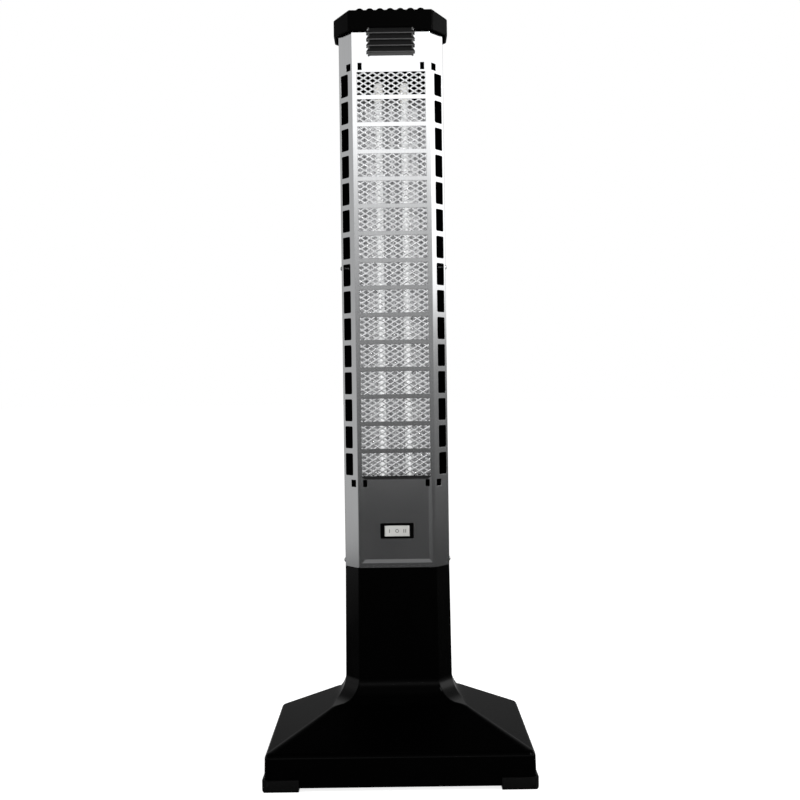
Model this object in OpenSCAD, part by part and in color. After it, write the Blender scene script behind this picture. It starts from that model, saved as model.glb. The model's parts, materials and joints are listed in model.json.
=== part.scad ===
// Infrared patio heater tower: a folded steel column on a moulded base, with two quartz lamps
// standing in a polished reflector behind a mesh guard.
// The origin is on the floor under the middle of the base. The front faces -Y and +Z is up.

/* [Column] */
// Width of the column across its two side walls
column_w = 134; // [128:1:144]
// Depth of the column from its front face to its back
column_d = 110; // [104:1:124]
// Width of the flat front face between its folds
front_w = 99; // [98:1:106]
// Depth of each flat side wall between its folds
side_d = 46; // [40:1:56]
// Thickness of the folded steel sheet
sheet_t = 0.8; // [0.6:0.1:1.2]
// Height of the column's lower edge above the floor
column_z = 257; // [240:1:290]
// Length of the column
column_h = 688; // [680:1:740]
// Place behind the middle of the side walls where the front shell ends
join_y = 12; // [9:1:14]
// Width of the strip where the rear shell lies under the front shell
join_lap = 10; // [8:1:12]

/* [Windows] */
// Number of windows, one above the other, where the column has room for them
window_count = 15; // [10:1:15]
// Width of a window
window_w = 87; // [80:1:88]
// Height of a window
window_h = 29; // [26:0.5:29.5]
// Height of the bar between two windows
window_bar = 5.6; // [5:0.1:6.2]
// Distance from the column's top edge to the first window
window_gap = 58; // [56:1:64]
// Least height of the plain panel below the windows
panel_h = 116; // [110:1:150]
// Width of a slot in the angled corner face
slot_w = 20.3; // [16:0.1:21]
// Height of a slot in the angled corner face
slot_h = 28; // [24:0.5:28.5]
// Distance from the front fold to the slots
slot_edge = 11.6; // [10:0.1:12]
// Corner radius of the slots
slot_r = 2.5; // [1:0.1:4]
// Height of the small hooking slots at the four corners of the window field
hook_h = 9; // [7:0.5:10]
// Width of a hooking slot in the front face
hook_front_w = 5.1; // [4:0.1:5.5]
// Width of a hooking slot in the angled corner face
hook_side_w = 12.6; // [10:0.1:14]

/* [Mesh guard] */
// Long way of a mesh diamond, centre to centre
mesh_long = 11.9; // [11:0.1:16]
// Short way of a mesh diamond, centre to centre
mesh_short = 6.8; // [6.4:0.1:9]
// Width of a mesh strand
mesh_strand = 1.7; // [1.2:0.1:2.2]
// Thickness of the mesh sheet
mesh_t = 1; // [0.8:0.1:1.4]
// Plain margin round the mesh
mesh_margin = 1.8; // [1.2:0.1:2.2]
// How many real diamonds wide each modelled diamond is, to keep the solid light
mesh_coarse = 2; // [2:0.5:3]

/* [Lower panel] */
// Width of the pressed recess
recess_w = 90; // [84:1:92]
// Depth of the pressed recess
recess_depth = 2; // [1:0.5:3]
// Width of the recess's sloped border
recess_slope = 4.5; // [3:0.5:6]
// Plain strip under the recess
recess_gap = 6; // [5:0.5:8]

/* [Rocker switch] */
// Height of the switch above the column's lower edge
switch_rise = 46.6; // [42:0.1:56]
// Width of the switch's bezel
bezel_w = 42.4; // [41:0.1:46]
// Height of the switch's bezel
bezel_h = 19.6; // [19:0.1:22]
// How far the bezel stands out of the panel
bezel_proud = 2.2; // [1.5:0.1:3]
// Width of the rocker
rocker_w = 32.4; // [30:0.1:32.8]
// Height of the rocker
rocker_h = 13.5; // [12:0.1:14]
// How far the rocker's ends stand out of the bezel
rocker_proud = 2.3; // [2:0.1:3]
// Gap between the rocker and the bezel
rocker_gap = 0.3; // [0.2:0.05:0.4]

/* [Lamps and reflector] */
// Distance between the two lamps
lamp_pitch = 33; // [30:0.5:36]
// Outer diameter of a quartz tube
tube_d = 10; // [9:0.1:11]
// Wall of a quartz tube
tube_wall = 1; // [0.8:0.1:1.2]
// Distance from the top of the windows down to the top of the lamps
lamp_gap = 11; // [6:0.5:14]
// Distance of the lamps' centres behind the mesh
lamp_back = 15; // [13:0.5:17]
// Depth of the reflector's two troughs
reflector_d = 33; // [30:0.5:36]
// Width of the reflector's open side
reflector_w = 91; // [88:0.5:92]
// Thickness of the reflector's sheet
reflector_t = 0.6; // [0.5:0.1:0.8]
// Air space between the reflector and its heat shield
shield_gap = 13; // [10:0.5:16]

/* [Cap] */
// How far the cap stands out round the column
cap_over = 6.2; // [5:0.1:8]
// How far the cap reaches down over the column
cap_drop = 6.4; // [5:0.1:10]
// Height of the cap above the column, without its ribs
cap_rise = 19.6; // [14:0.1:22]
// How far the slopes at the cap's two sides reach in
cap_slope = 21; // [14:0.5:24]
// How much lower the cap's top is at its sides
cap_slope_drop = 5.5; // [3:0.1:7]
// Wall of the cap
cap_wall = 2.6; // [2:0.1:3]
// Number of ribs on the cap
rib_count = 7; // [5:2:7]
// Distance between two ribs
rib_pitch = 12.9; // [12:0.1:13.2]
// Height of a rib
rib_h = 2.2; // [1.5:0.1:3]
// Width of a rib at its foot
rib_w = 9; // [7:0.5:11]

/* [Vent louvre] */
// Width of the louvre's blades
louvre_w = 62; // [56:1:66]
// Height of the louvre
louvre_h = 34.4; // [32:0.1:40]
// Number of blades
louvre_count = 4; // [3:1:4]
// How far the blades stand out of the front face
louvre_proud = 7.4; // [6.4:0.1:9]

/* [Base] */
// Width and depth of the base at the edge of its roof
base_w = 328; // [300:1:360]
// How much wider each side gets down to the skirt's lower edge
skirt_flare = 0.8; // [0.5:0.1:6]
// Height of the skirt's lower edge above the floor
base_lift = 5; // [4:0.5:6]
// Rounding of the skirt's corners, seen from above
skirt_round = 11; // [6:0.5:16]
// Height of the roof's edge above the floor
roof_z = 44; // [36:0.5:48]
// Height above the floor where the roof's slopes would meet the neck
apex_z = 93; // [80:0.5:96]
// Length of the blend along the neck and along the roof
blend_run = 24; // [16:0.5:28]
// How much wider each side of the neck gets down to the roof
neck_draft = 1.6; // [0.5:0.1:3]
// Wall of the base moulding
base_wall = 3; // [2.5:0.1:3.5]
// Height of the neck's spigot inside the column
spigot_h = 28; // [24:1:32]

/* [Feet] */
// Width of a corner foot
foot_w = 44.6; // [38:0.1:50]
// Height of a corner foot
foot_h = 15; // [12:0.5:18]
// How far a foot stands out round the skirt
foot_proud = 2.3; // [1.5:0.1:4]

/* [Base fittings] */
// Thickness of the steel base plate
plate_t = 2; // [1.5:0.1:3]
// Width and depth of the ballast slab
ballast_w = 190; // [160:1:196]
// Height of the ballast slab
ballast_h = 16; // [10:1:20]
// Bore of the cable gland
gland_bore = 8.4; // [6:0.1:9]
// Height of the cable gland above the floor
gland_z = 150; // [140:1:170]

/* [Hidden] */
// Every separate piece, by name
// The piece that is drawn, or all of them

$fn = 48;
// Overlap that joins the parts of one piece, and the extra length of a cut
tiny = 0.5;
// Larger than the whole object
far = 400;
// Clearance of a screw in its hole, on the radius
screw_gap = 0.1;
// Running clearance of a pin in its hole, on the radius
pin_gap = 0.05;
// Gap between pieces that slide into each other
fit_gap = 0.3;

// Colours, as the object shows them
steel = [0.78, 0.78, 0.78];
bright = [0.9, 0.9, 0.9];
black = [0.06, 0.06, 0.06];
iron = [0.3, 0.3, 0.3];
brass = [0.8, 0.65, 0.3];
ceramic = [0.95, 0.94, 0.9];
quartz = [0.93, 0.94, 0.95];
coil = [0.5, 0.45, 0.4];
white = [0.93, 0.93, 0.9];

// Column heights and the window field
column_top = column_z + column_h;
window_pitch = window_h + window_bar;
windows = min(window_count,
    floor((column_h - window_gap - panel_h + window_bar) / window_pitch));
field_top = column_top - window_gap;
field_bottom = field_top - windows * window_pitch + window_bar;
field_h = field_top - field_bottom;

// Planes of the front face, from the outside in
front_y = -column_d / 2;
mesh_front = front_y + sheet_t;
mesh_back = mesh_front + mesh_t;
// The mesh ends just under the last window, above the recess's sloped border
mesh_foot = 0.3;
recess_y = front_y + recess_depth;

// The angled corner face: its ends, its length, its outward direction and its distance
fold_front = [front_w / 2, front_y];
fold_side = [column_w / 2, -side_d / 2];
corner_run = fold_side - fold_front;
corner_len = norm(corner_run);
corner_out = [-corner_run.y, corner_run.x] / -corner_len;
corner_angle = atan2(corner_out.y, corner_out.x);
corner_dist = fold_front * corner_out;

// Hooking slots: how far above and below the windows, from the front fold, and in the front
// face how far inside the windows' edge
hook_above = 2.8;
hook_below = 5;
hook_fold = 4;
hook_inset = 1.2;

// Lamps
lamp_x = lamp_pitch / 2;
lamp_y = mesh_back + lamp_back;
lamp_top = field_top - lamp_gap;
lamp_cap_d = tube_d + 1.4;
lamp_cap_len = 26;
lamp_cap_lap = 12;
lamp_collar_d = tube_d + 5;
lamp_collar_t = 1.5;
tube_gap = 0.1;
coil_d = 5;
coil_pin_d = 2;
coil_pin_len = 14;

// The brackets that carry the lamps lie behind the first bar and below the windows
bracket_top_z = field_top - window_h - window_bar / 2;
bracket_below = 17;
bracket_bottom_z = field_bottom - bracket_below;
bracket_gap = 1;
bracket_back = join_y - join_lap - bracket_gap;
bracket_tab_h = 12;
bracket_tab_d = 18;

// Lamps stand between the two brackets
lamp_below = 12;
lamp_bottom = bracket_bottom_z - lamp_below;

// Reflector section
reflector_flange = 2.5;
trough_splay = 11.8;
trough_out = reflector_w / 2 - trough_splay;
trough_in = 12;
ridge_d = 19;
ridge_half = 1;
trough_y = mesh_back + reflector_d;
trough_back = trough_y + reflector_t;
shield_inset = 4;
shield_x = trough_out - shield_inset;
shield_back = trough_back + shield_gap;
shield_end = 8;

// Thermal cut-out on the back of the reflector
can_d = 15;
can_h = 5;
can_rim = 2;
can_cap_h = 3.5;
can_drop = 70;

// Switch
switch_z = column_z + switch_rise;
bezel_front = recess_y - bezel_proud;
bezel_r = 1.5;
sleeve_wall = 1.8;
sleeve_w = rocker_w + 2 * sleeve_wall;
sleeve_h = rocker_h + 2 * sleeve_wall;
sleeve_d = 9;
pivot_in = 1;
pivot_y = recess_y + pivot_in;
rocker_front = bezel_front - rocker_proud;
rocker_dip = 1.6;
rocker_back = 5;
rocker_end_half = 2;
rocker_taper = 3;
trunnion_d = 2.4;
trunnion_len = 0.9;
trunnion_gap = 0.1;
switch_body_w = 33;
switch_body_h = 15;
switch_body_d = 20;
switch_body_front = recess_y + sleeve_d;
terminal_w = 6.3;
terminal_t = 0.8;
terminal_len = 9;
terminal_pitch = 10;

// Screws in the side walls, low down and half way up
screw_rises = [4.5, 385];
screw_y = join_y - join_lap / 2;
screw_d = 3.6;
screw_head_d = 7;
screw_head_h = 2.6;
screw_len = 9;

// Rear shell vents
vent_count = 8;
vent_w = 60;
vent_h = 4;
vent_pitch = 10;
// Lowest vent over the spigot, and the column's top over the highest one
vent_gap = 30;
vent_top_gap = 125;
vent_r = 1.9;
// Where the rear shell steps in to pass under the front shell
joggle_gap = 0.6;
joggle_run = 1;

// Slots in the top plate
plate_slot_w = 6;
plate_slot_d = 30;
plate_slot_pitch = 20;
plate_slot_y = 20;
plate_slot_r = 2.9;
plate_edge_gap = 0.05;

// Cap
cap_z = column_top - cap_drop;
cap_top = column_top + cap_rise;
cap_seat_w = 4;
cap_seat_out = 1;
rib_r = (rib_w * rib_w / 4 + rib_h * rib_h) / (2 * rib_h);
cap_screw_x = 40;
cap_screw_d = 3.2;
cap_screw_len = 11;
cap_boss_d = 9;

// Louvre
louvre_drop = 2.7;
louvre_top = column_top - louvre_drop;
louvre_z = louvre_top - louvre_h;
// Height of the lowest blade over the louvre's lower edge
louvre_low = 3;
// How far the top blade would reach over the louvre, which cuts it off
blade_over = 0.6;
louvre_pitch = (louvre_h - louvre_low + blade_over) / louvre_count;
louvre_end = 2;
louvre_core_w = louvre_w - 2 * louvre_end;
louvre_frame_t = 2;
louvre_rim = 3.5;
cheek_t = 2;
cheek_back = 1.5;
blade_t = 2.2;
blade_lip = 1;
blade_foot = 3;
blade_back = 0.9;
louvre_vent_gap = 3;

// Base
neck_top_gap = 0.1;
spigot_inset = 2 * sheet_t + fit_gap;
corner_slope = 12;
blend_steps = 8;
boss_d = 12;
boss_edge = 26;
boss_place = base_w / 2 - boss_edge;
// Middles of the four sides, where bosses and screws hold the base plate
boss_spots = [[boss_place, 0], [0, boss_place], [-boss_place, 0], [0, -boss_place]];
plate_rise = 0.5;
plate_z = base_lift + plate_rise;
plate_top = plate_z + plate_t;
plate_gap = 1;
boss_hole_d = 3;
boss_hole_h = 18;
base_screw_d = 4;
base_screw_grip = 14;
base_head_d = 8;
base_head_h = 2.2;
head_taper = 1.6;
ballast_r = 8;
ballast_screw_edge = 28.5;
ballast_screw_place = ballast_w / 2 - ballast_screw_edge;
// Holes that let rain out of the base
drain_d = 8;
drain_pitch = 22;
drain_gap = 20;
// How far the spigot's root and the inside of the base reach past the joints there
spigot_root = 8;
skirt_open = 2;

// Feet
foot_round = 9;
foot_edge = 3;
foot_top_edge = 1;

// Cable gland
gland_hole_d = 16;
gland_flange_d = 22;
gland_flange_t = 4;
gland_nut_t = 5;
gland_dome_d = 20;
gland_dome_len = 12;
gland_taper_d = 6;
gland_taper_len = 4;
gland_thread_gap = 0.1;
gland_thread_len = 4;
gland_end = 2;
gland_wall_gap = 0.5;
neck_back = column_d / 2 - neck_top_gap
    + neck_draft * (column_z - gland_z) / (column_z - apex_z);
gland_pad_t = 2;
gland_pad_d = 28;
gland_face = neck_back + gland_pad_t;
gland_inside = neck_back - base_wall - gland_wall_gap;

// Tip-over switch, standing on the ballast
tip_z = plate_top + ballast_h;
tip_w = 44;
tip_depth = 26;
tip_wall = 2;
tip_h = 40;
tip_pin_rise = 32;
tip_pin_z = tip_z + tip_pin_rise;
tip_pin_d = 3;
tip_screw_x = 17;
tip_screw_len = 6;
tip_head_d = 6;
tip_head_h = 2;
bob_d = 12;
bob_len = 14;
bob_drop = 17;
hub_d = 7;
arm_w = 6;
arm_t = 5;
micro_w = 6.4;
micro_h = 10;
micro_d = 19.8;
micro_drop = 3;
micro_top = tip_z + tip_h - micro_drop;
micro_y = tip_depth / 2 + micro_w / 2;
micro_button = 1.5;
micro_button_d = 2;
micro_button_x = 6;

// Terminal block under the lower lamp bracket
block_w = 36;
block_d = 16;
block_h = 14;
block_gap = 1.6;
block_y = trough_back + block_gap + block_d / 2;
block_ways = 4;
way_x = 8.5;
way_d = 4.5;
way_gap = 0.1;

// Leads: their thickness, the straight run at an end, the gap between an end and what it
// meets, and the space that they keep from the heat shield
wire_d = 2.6;
lead_run = 4;
end_gap = 0.3;
lead_clear = 2;
lead_sides = 6;
lead_steps = 5;

// A vector of length one
function unit(v) = v / norm(v);
// The direction a quarter turn anticlockwise from v
function left_of(v) = [-v.y, v.x];
// Point i of a path, moved t to the path's left, where both neighbours keep their distance
function mitre(before, here, after, t) =
    let(a = left_of(unit(here - before)), b = left_of(unit(after - here)), m = unit(a + b))
    here + m * t / (m * a);
// An open path, moved t to its left
function shifted(path, t) =
    let(n = len(path))
    [for (i = [0:n - 1])
        i == 0 ? path[0] + left_of(unit(path[1] - path[0])) * t
        : i == n - 1 ? path[i] + left_of(unit(path[i] - path[i - 1])) * t
        : mitre(path[i - 1], path[i], path[i + 1], t)];
// A list in the opposite order
function reversed(list) = [for (i = [len(list) - 1:-1:0]) list[i]];
// Outline of a sheet that follows an open path, t thick to the path's left
function sheet_outline(path, t) = concat(path, reversed(shifted(path, t)));
// A path mirrored to the other side of the middle plane, after the path itself
function both_sides(path) = concat(path, [for (p = reversed(path)) [-p.x, p.y]]);
// The column's section, inset by t, anticlockwise from the front right fold
function octagon(t) =
    let(w = column_w / 2 - t, d = column_d / 2 - t, c = corner_dist - t,
        fw = (c - d * -corner_out.y) / corner_out.x,
        sd = (c - w * corner_out.x) / -corner_out.y)
    [[fw, -d], [w, -sd], [w, sd], [fw, d], [-fw, d], [-w, sd], [-w, -sd], [-fw, -d]];
// Arc that rounds the corner at b between a and c, with its ends run away from b
function blend(a, b, c, run, steps) =
    let(u = unit(a - b), v = unit(c - b), half = acos(u * v) / 2,
        r = run * tan(half), centre = b + unit(u + v) * run / cos(half),
        start = b + u * run - centre,
        turn = (u.x * v.y - u.y * v.x > 0 ? -1 : 1) * (180 - 2 * half))
    [for (i = [0:steps])
        let(t = turn * i / steps)
        centre + [start.x * cos(t) - start.y * sin(t), start.x * sin(t) + start.y * cos(t)]];

// A rectangle with round corners
module round_rect(w, h, r) {
    square([w - 2 * r, h], center = true);
    square([w, h - 2 * r], center = true);
    for (x = [-1, 1], y = [-1, 1])
        translate([x * (w / 2 - r), y * (h / 2 - r)]) circle(r);
}

// A box by its middle in x and y and its lowest z
module block(size, at) {
    translate([at.x - size.x / 2, at.y - size.y / 2, at.z]) cube(size);
}

// Its children, each with a mirror image on the other side of the middle plane
module mirrored_x() {
    children();
    mirror([1, 0, 0]) children();
}

// Places its children at height z in the front face, with their z axis pointing to the back
module on_front(x, z) {
    translate([x, front_y, z]) rotate([-90, 0, 0]) children();
}

// Places its children in the right corner face, at a distance from the front fold, with
// their x axis along the face and their z axis pointing inwards
module on_corner(along, z) {
    at = fold_front + unit(corner_run) * along;
    translate([at.x, at.y, z]) rotate([0, 0, corner_angle + 90]) rotate([-90, 0, 0])
        children();
}

// Height of the middle of window i, counted from the top
function window_z(i) = field_top - window_h / 2 - i * window_pitch;
// Heights of the hooking slots' middles, above and below the windows
hook_zs = [field_top + hook_above + hook_h / 2, field_bottom - hook_below - hook_h / 2];

// Cut through the sheet where each window is
module window_cuts() {
    for (i = [0:windows - 1])
        on_front(0, window_z(i))
            translate([-window_w / 2, -window_h / 2, -tiny])
                cube([window_w, window_h, sheet_t + 2 * tiny]);
}

// Slots beside the windows in the right corner face, and the hooking slots
module corner_cuts() {
    for (i = [0:windows - 1])
        on_corner(slot_edge + slot_w / 2, window_z(i))
            translate([0, 0, -tiny]) linear_extrude(sheet_t + 2 * tiny)
                round_rect(slot_w, slot_h, slot_r);
    for (z = hook_zs) {
        on_corner(hook_fold + hook_side_w / 2, z)
            translate([-hook_side_w / 2, -hook_h / 2, -tiny])
                cube([hook_side_w, hook_h, sheet_t + 2 * tiny]);
        on_front(window_w / 2 - hook_inset - hook_front_w / 2, z)
            translate([-hook_front_w / 2, -hook_h / 2, -tiny])
                cube([hook_front_w, hook_h, recess_depth + sheet_t + 2 * tiny]);
    }
}

// Holes for the side screws
module side_holes() {
    for (rise = screw_rises)
        translate([-column_w / 2 - tiny, screw_y, column_z + rise]) rotate([0, 90, 0])
            cylinder(d = screw_d + 2 * screw_gap, h = column_w + 2 * tiny);
}

// The solid that the recess presses out of the front face, grown by t behind it
module recess_form(t) {
    low = column_z + recess_gap;
    high = field_bottom;
    deep = recess_y + t;
    half = recess_w / 2 + t / 2;
    intersection() {
        translate([0, 0, low - t / 2]) linear_extrude(high - low + t)
            polygon(both_sides([[half, front_y], [half - recess_slope, deep]]));
        rotate([90, 0, 90]) translate([0, 0, -far / 2]) linear_extrude(far)
            polygon([[front_y, low - t / 2], [front_y, high + t / 2],
                [deep, high + t / 2 - recess_slope], [deep, low - t / 2 + recess_slope]]);
    }
}

// Front of the column with the two corner faces and the start of the side walls
module front_shell() {
    color(steel) difference() {
        union() {
            difference() {
                translate([0, 0, column_z]) linear_extrude(column_h)
                    polygon(sheet_outline(both_sides([[column_w / 2, join_y], fold_side,
                        fold_front]), -sheet_t));
                recess_form(0);
            }
            difference() {
                recess_form(sheet_t);
                recess_form(0);
                translate([0, -far / 2 + front_y, column_z + column_h / 4])
                    cube(far, center = true);
            }
        }
        window_cuts();
        mirrored_x() corner_cuts();
        side_holes();
        on_front(0, louvre_z + louvre_h / 2)
            cube([louvre_core_w - 2 * louvre_rim,
                louvre_h - 2 * louvre_rim - 2 * louvre_vent_gap,
                2 * (sheet_t + tiny)], center = true);
        translate([0, recess_y, switch_z])
            cube([sleeve_w + 2 * fit_gap, 2 * (sheet_t + tiny), sleeve_h + 2 * fit_gap],
                center = true);
    }
}

// Back of the column, whose flanges lie under the ends of the front shell
module rear_shell() {
    w = column_w / 2;
    path = [[w - sheet_t, join_y - join_lap], [w - sheet_t, join_y + joggle_gap],
        [w, join_y + joggle_gap + joggle_run], [w, side_d / 2],
        [front_w / 2, column_d / 2]];
    color(steel) difference() {
        translate([0, 0, column_z]) linear_extrude(column_h)
            polygon(sheet_outline(both_sides(path), sheet_t));
        side_holes();
        for (i = [0:vent_count - 1], low = [column_z + vent_gap + spigot_h,
                column_top - vent_top_gap - vent_count * vent_pitch])
            translate([0, column_d / 2, low + i * vent_pitch + vent_h / 2])
                rotate([90, 0, 0]) linear_extrude(2 * (sheet_t + tiny), center = true)
                    round_rect(vent_w, vent_h, vent_r);
    }
}

// Flattened expanded metal behind the windows: rows of diamonds, each row half a step aside
module mesh_guard() {
    w = window_w + 2 * mesh_margin;
    step_x = mesh_long * mesh_coarse / 2;
    step_z = mesh_short * mesh_coarse / 2;
    rows = floor(field_h / 2 / step_z) - 1;
    columns = floor(window_w / 2 / step_x) - 1;
    open = 1 - mesh_strand / mesh_short;
    color(bright) translate([0, mesh_back, (field_top + field_bottom) / 2])
        rotate([90, 0, 0]) linear_extrude(mesh_t) difference() {
            translate([-w / 2, -field_h / 2 - mesh_foot])
                square([w, field_h + mesh_foot + mesh_margin]);
            for (row = [-rows:rows], column = [-columns:columns])
                if ((row + column) % 2 == 0)
                    translate([column * step_x, row * step_z])
                        polygon(open * [[step_x, 0], [0, step_z], [-step_x, 0],
                            [0, -step_z]]);
        }
}

// Polished sheet with a trough behind each lamp and a ridge between them
module reflector() {
    path = both_sides([[reflector_w / 2 + reflector_flange, mesh_back],
        [reflector_w / 2, mesh_back], [trough_out, trough_y],
        [trough_in, trough_y], [ridge_half, mesh_back + ridge_d]]);
    color(bright) translate([0, 0, bracket_bottom_z + sheet_t])
        linear_extrude(bracket_top_z - bracket_bottom_z - sheet_t)
            polygon(sheet_outline(path, -reflector_t));
}

// Channel behind the reflector that keeps its heat off the rear shell
module heat_shield() {
    low = bracket_bottom_z + sheet_t + shield_end;
    high = bracket_top_z - shield_end;
    color(iron) translate([0, 0, low]) linear_extrude(high - low)
        polygon(sheet_outline(both_sides([[shield_x, trough_back],
            [shield_x, shield_back]]), sheet_t));
}

// Cross plate that holds the ends of the lamps, with a tab against each side wall
module lamp_bracket(z, up) {
    edge = (up ? mesh_back : recess_y + sheet_t) + fit_gap;
    color(iron) translate([0, 0, z]) {
        difference() {
            linear_extrude(sheet_t) intersection() {
                polygon(octagon(sheet_t + fit_gap));
                translate([-far / 2, edge]) square([far, bracket_back - edge]);
            }
            for (x = [-lamp_x, lamp_x])
                translate([x, lamp_y, -tiny])
                    cylinder(d = lamp_cap_d + 2 * fit_gap, h = sheet_t + 2 * tiny);
        }
        mirrored_x()
            translate([column_w / 2 - 2 * sheet_t, -bracket_tab_d,
                    up ? 0 : sheet_t - bracket_tab_h])
                cube([sheet_t, bracket_tab_d, bracket_tab_h]);
    }
}

module lamp_bracket_top() {
    lamp_bracket(bracket_top_z, true);
}

module lamp_bracket_bottom() {
    lamp_bracket(bracket_bottom_z, false);
}

// Open ended quartz tube between the two ceramic caps
module quartz_tube(side) {
    low = lamp_bottom + lamp_cap_len - lamp_cap_lap;
    high = lamp_top - lamp_cap_len + lamp_cap_lap;
    color(quartz) translate([side * lamp_x, lamp_y, low]) difference() {
        cylinder(d = tube_d, h = high - low);
        translate([0, 0, -tiny])
            cylinder(d = tube_d - 2 * tube_wall, h = high - low + 2 * tiny);
    }
}

module quartz_tube_left() { quartz_tube(-1); }
module quartz_tube_right() { quartz_tube(1); }

// Wound heating wire in a tube, as its outer form, with a lead pin at each end
module heating_coil(side) {
    low = lamp_bottom + lamp_cap_len - lamp_cap_lap;
    high = lamp_top - lamp_cap_len + lamp_cap_lap;
    color(coil) translate([side * lamp_x, lamp_y, low]) {
        cylinder(d = coil_pin_d, h = high - low);
        translate([0, 0, coil_pin_len])
            cylinder(d = coil_d, h = high - low - 2 * coil_pin_len);
    }
}

module heating_coil_left() { heating_coil(-1); }
module heating_coil_right() { heating_coil(1); }

// Domed ceramic cap on a tube's end, with the collar that meets its bracket
module ceramic_cap(side, top) {
    body = lamp_cap_len - lamp_cap_d / 2;
    collar = top ? bracket_top_z - (lamp_top - lamp_cap_len) - lamp_collar_t
        : bracket_bottom_z + sheet_t - lamp_bottom;
    color(ceramic) translate([side * lamp_x, lamp_y, top ? lamp_top - lamp_cap_len
            : lamp_bottom]) difference() {
        union() {
            translate([0, 0, top ? 0 : lamp_cap_d / 2]) cylinder(d = lamp_cap_d, h = body);
            translate([0, 0, top ? body : lamp_cap_d / 2]) sphere(d = lamp_cap_d);
            translate([0, 0, collar]) cylinder(d = lamp_collar_d, h = lamp_collar_t);
        }
        translate([0, 0, top ? -tiny : lamp_cap_len - lamp_cap_lap])
            cylinder(d = tube_d + 2 * tube_gap, h = lamp_cap_lap + tiny);
    }
}

module ceramic_cap_top_left() { ceramic_cap(-1, true); }
module ceramic_cap_top_right() { ceramic_cap(1, true); }
module ceramic_cap_bottom_left() { ceramic_cap(-1, false); }
module ceramic_cap_bottom_right() { ceramic_cap(1, false); }

// Snap-disc cut-out on the back of the reflector
module thermal_cutout() {
    color(brass)
        translate([trough_in + can_d / 2 + ridge_half, trough_back,
                bracket_top_z - can_drop]) rotate([-90, 0, 0]) {
            cylinder(d = can_d, h = can_h);
            cylinder(d = can_d - 2 * can_rim, h = can_h + can_cap_h);
        }
}

// Plate that closes the column's top and takes the cap's screws
module top_plate() {
    color(iron) translate([0, 0, column_top - sheet_t]) difference() {
        linear_extrude(sheet_t) polygon(octagon(2 * sheet_t + plate_edge_gap));
        for (x = [-cap_screw_x, cap_screw_x])
            translate([x, 0, -tiny])
                cylinder(d = screw_d + 2 * screw_gap, h = sheet_t + 2 * tiny);
        for (i = [-1:1])
            translate([i * plate_slot_pitch, plate_slot_y, -tiny])
                linear_extrude(sheet_t + 2 * tiny)
                    round_rect(plate_slot_w, plate_slot_d, plate_slot_r);
    }
}

// Everything under a top that slopes down towards both sides
module cap_profile(top) {
    side = column_w / 2 + cap_over;
    rotate([90, 0, 0]) linear_extrude(far, center = true)
        polygon(both_sides([[side, cap_z - 2 * tiny], [side, top - cap_slope_drop],
            [side - cap_slope, top]]));
}

// Ribbed lid over the column's top, hollow from below
module top_cap() {
    ceiling = cap_top - cap_wall;
    side = column_w / 2 + cap_over;
    color(black) difference() {
        union() {
            intersection() {
                translate([0, 0, cap_z]) linear_extrude(cap_top - cap_z)
                    polygon(octagon(-cap_over));
                cap_profile(cap_top);
            }
            intersection() {
                translate([0, 0, cap_top - tiny]) linear_extrude(rib_h + 2 * tiny)
                    polygon(octagon(-cap_over));
                block([2 * (side - cap_slope), far, rib_h + 2 * tiny],
                    [0, 0, cap_top - tiny]);
                for (i = [0:rib_count - 1])
                    translate([(i - (rib_count - 1) / 2) * rib_pitch, 0,
                            cap_top + rib_h - rib_r])
                        rotate([90, 0, 0]) cylinder(r = rib_r, h = far, center = true);
            }
        }
        difference() {
            intersection() {
                translate([0, 0, cap_z - tiny]) linear_extrude(ceiling - cap_z + tiny)
                    polygon(octagon(cap_wall - cap_over));
                cap_profile(ceiling);
            }
            translate([0, 0, column_top]) linear_extrude(cap_rise) difference() {
                polygon(octagon(-cap_seat_out));
                polygon(octagon(cap_seat_w));
            }
            for (x = [-cap_screw_x, cap_screw_x])
                translate([x, 0, column_top]) cylinder(d = cap_boss_d, h = cap_rise);
        }
        for (x = [-cap_screw_x, cap_screw_x])
            translate([x, 0, column_top - tiny])
                cylinder(d = cap_screw_d, h = cap_screw_len);
        block([louvre_core_w + 4 * fit_gap, 2 * (cap_over - fit_gap),
            louvre_top + fit_gap - cap_z + tiny], [0, front_y - cap_over, cap_z - tiny]);
    }
}

// A pan head screw that points up, with its head's seat at the origin
module screw(shank_d, length, head_d, head_h) {
    cylinder(d = shank_d, h = length);
    translate([0, 0, -head_h]) cylinder(d1 = head_d - head_taper, d2 = head_d, h = head_h);
}

module cap_screws() {
    color(steel) for (x = [-cap_screw_x, cap_screw_x])
        translate([x, 0, column_top - sheet_t])
            screw(cap_screw_d, cap_screw_len, screw_head_d, screw_head_h);
}

// Front view of one blade, whose ends draw in above the lip, cut off at the louvre's top
module blade_outline(z) {
    half = louvre_w / 2;
    core = louvre_core_w / 2;
    top = min(z + louvre_pitch + blade_lip, louvre_top);
    rotate([90, 0, 0]) linear_extrude(far, center = true)
        polygon(both_sides([[half, z - tiny], [half, z + blade_lip],
            [core, z + louvre_pitch / 2], [core, top]]));
}

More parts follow.
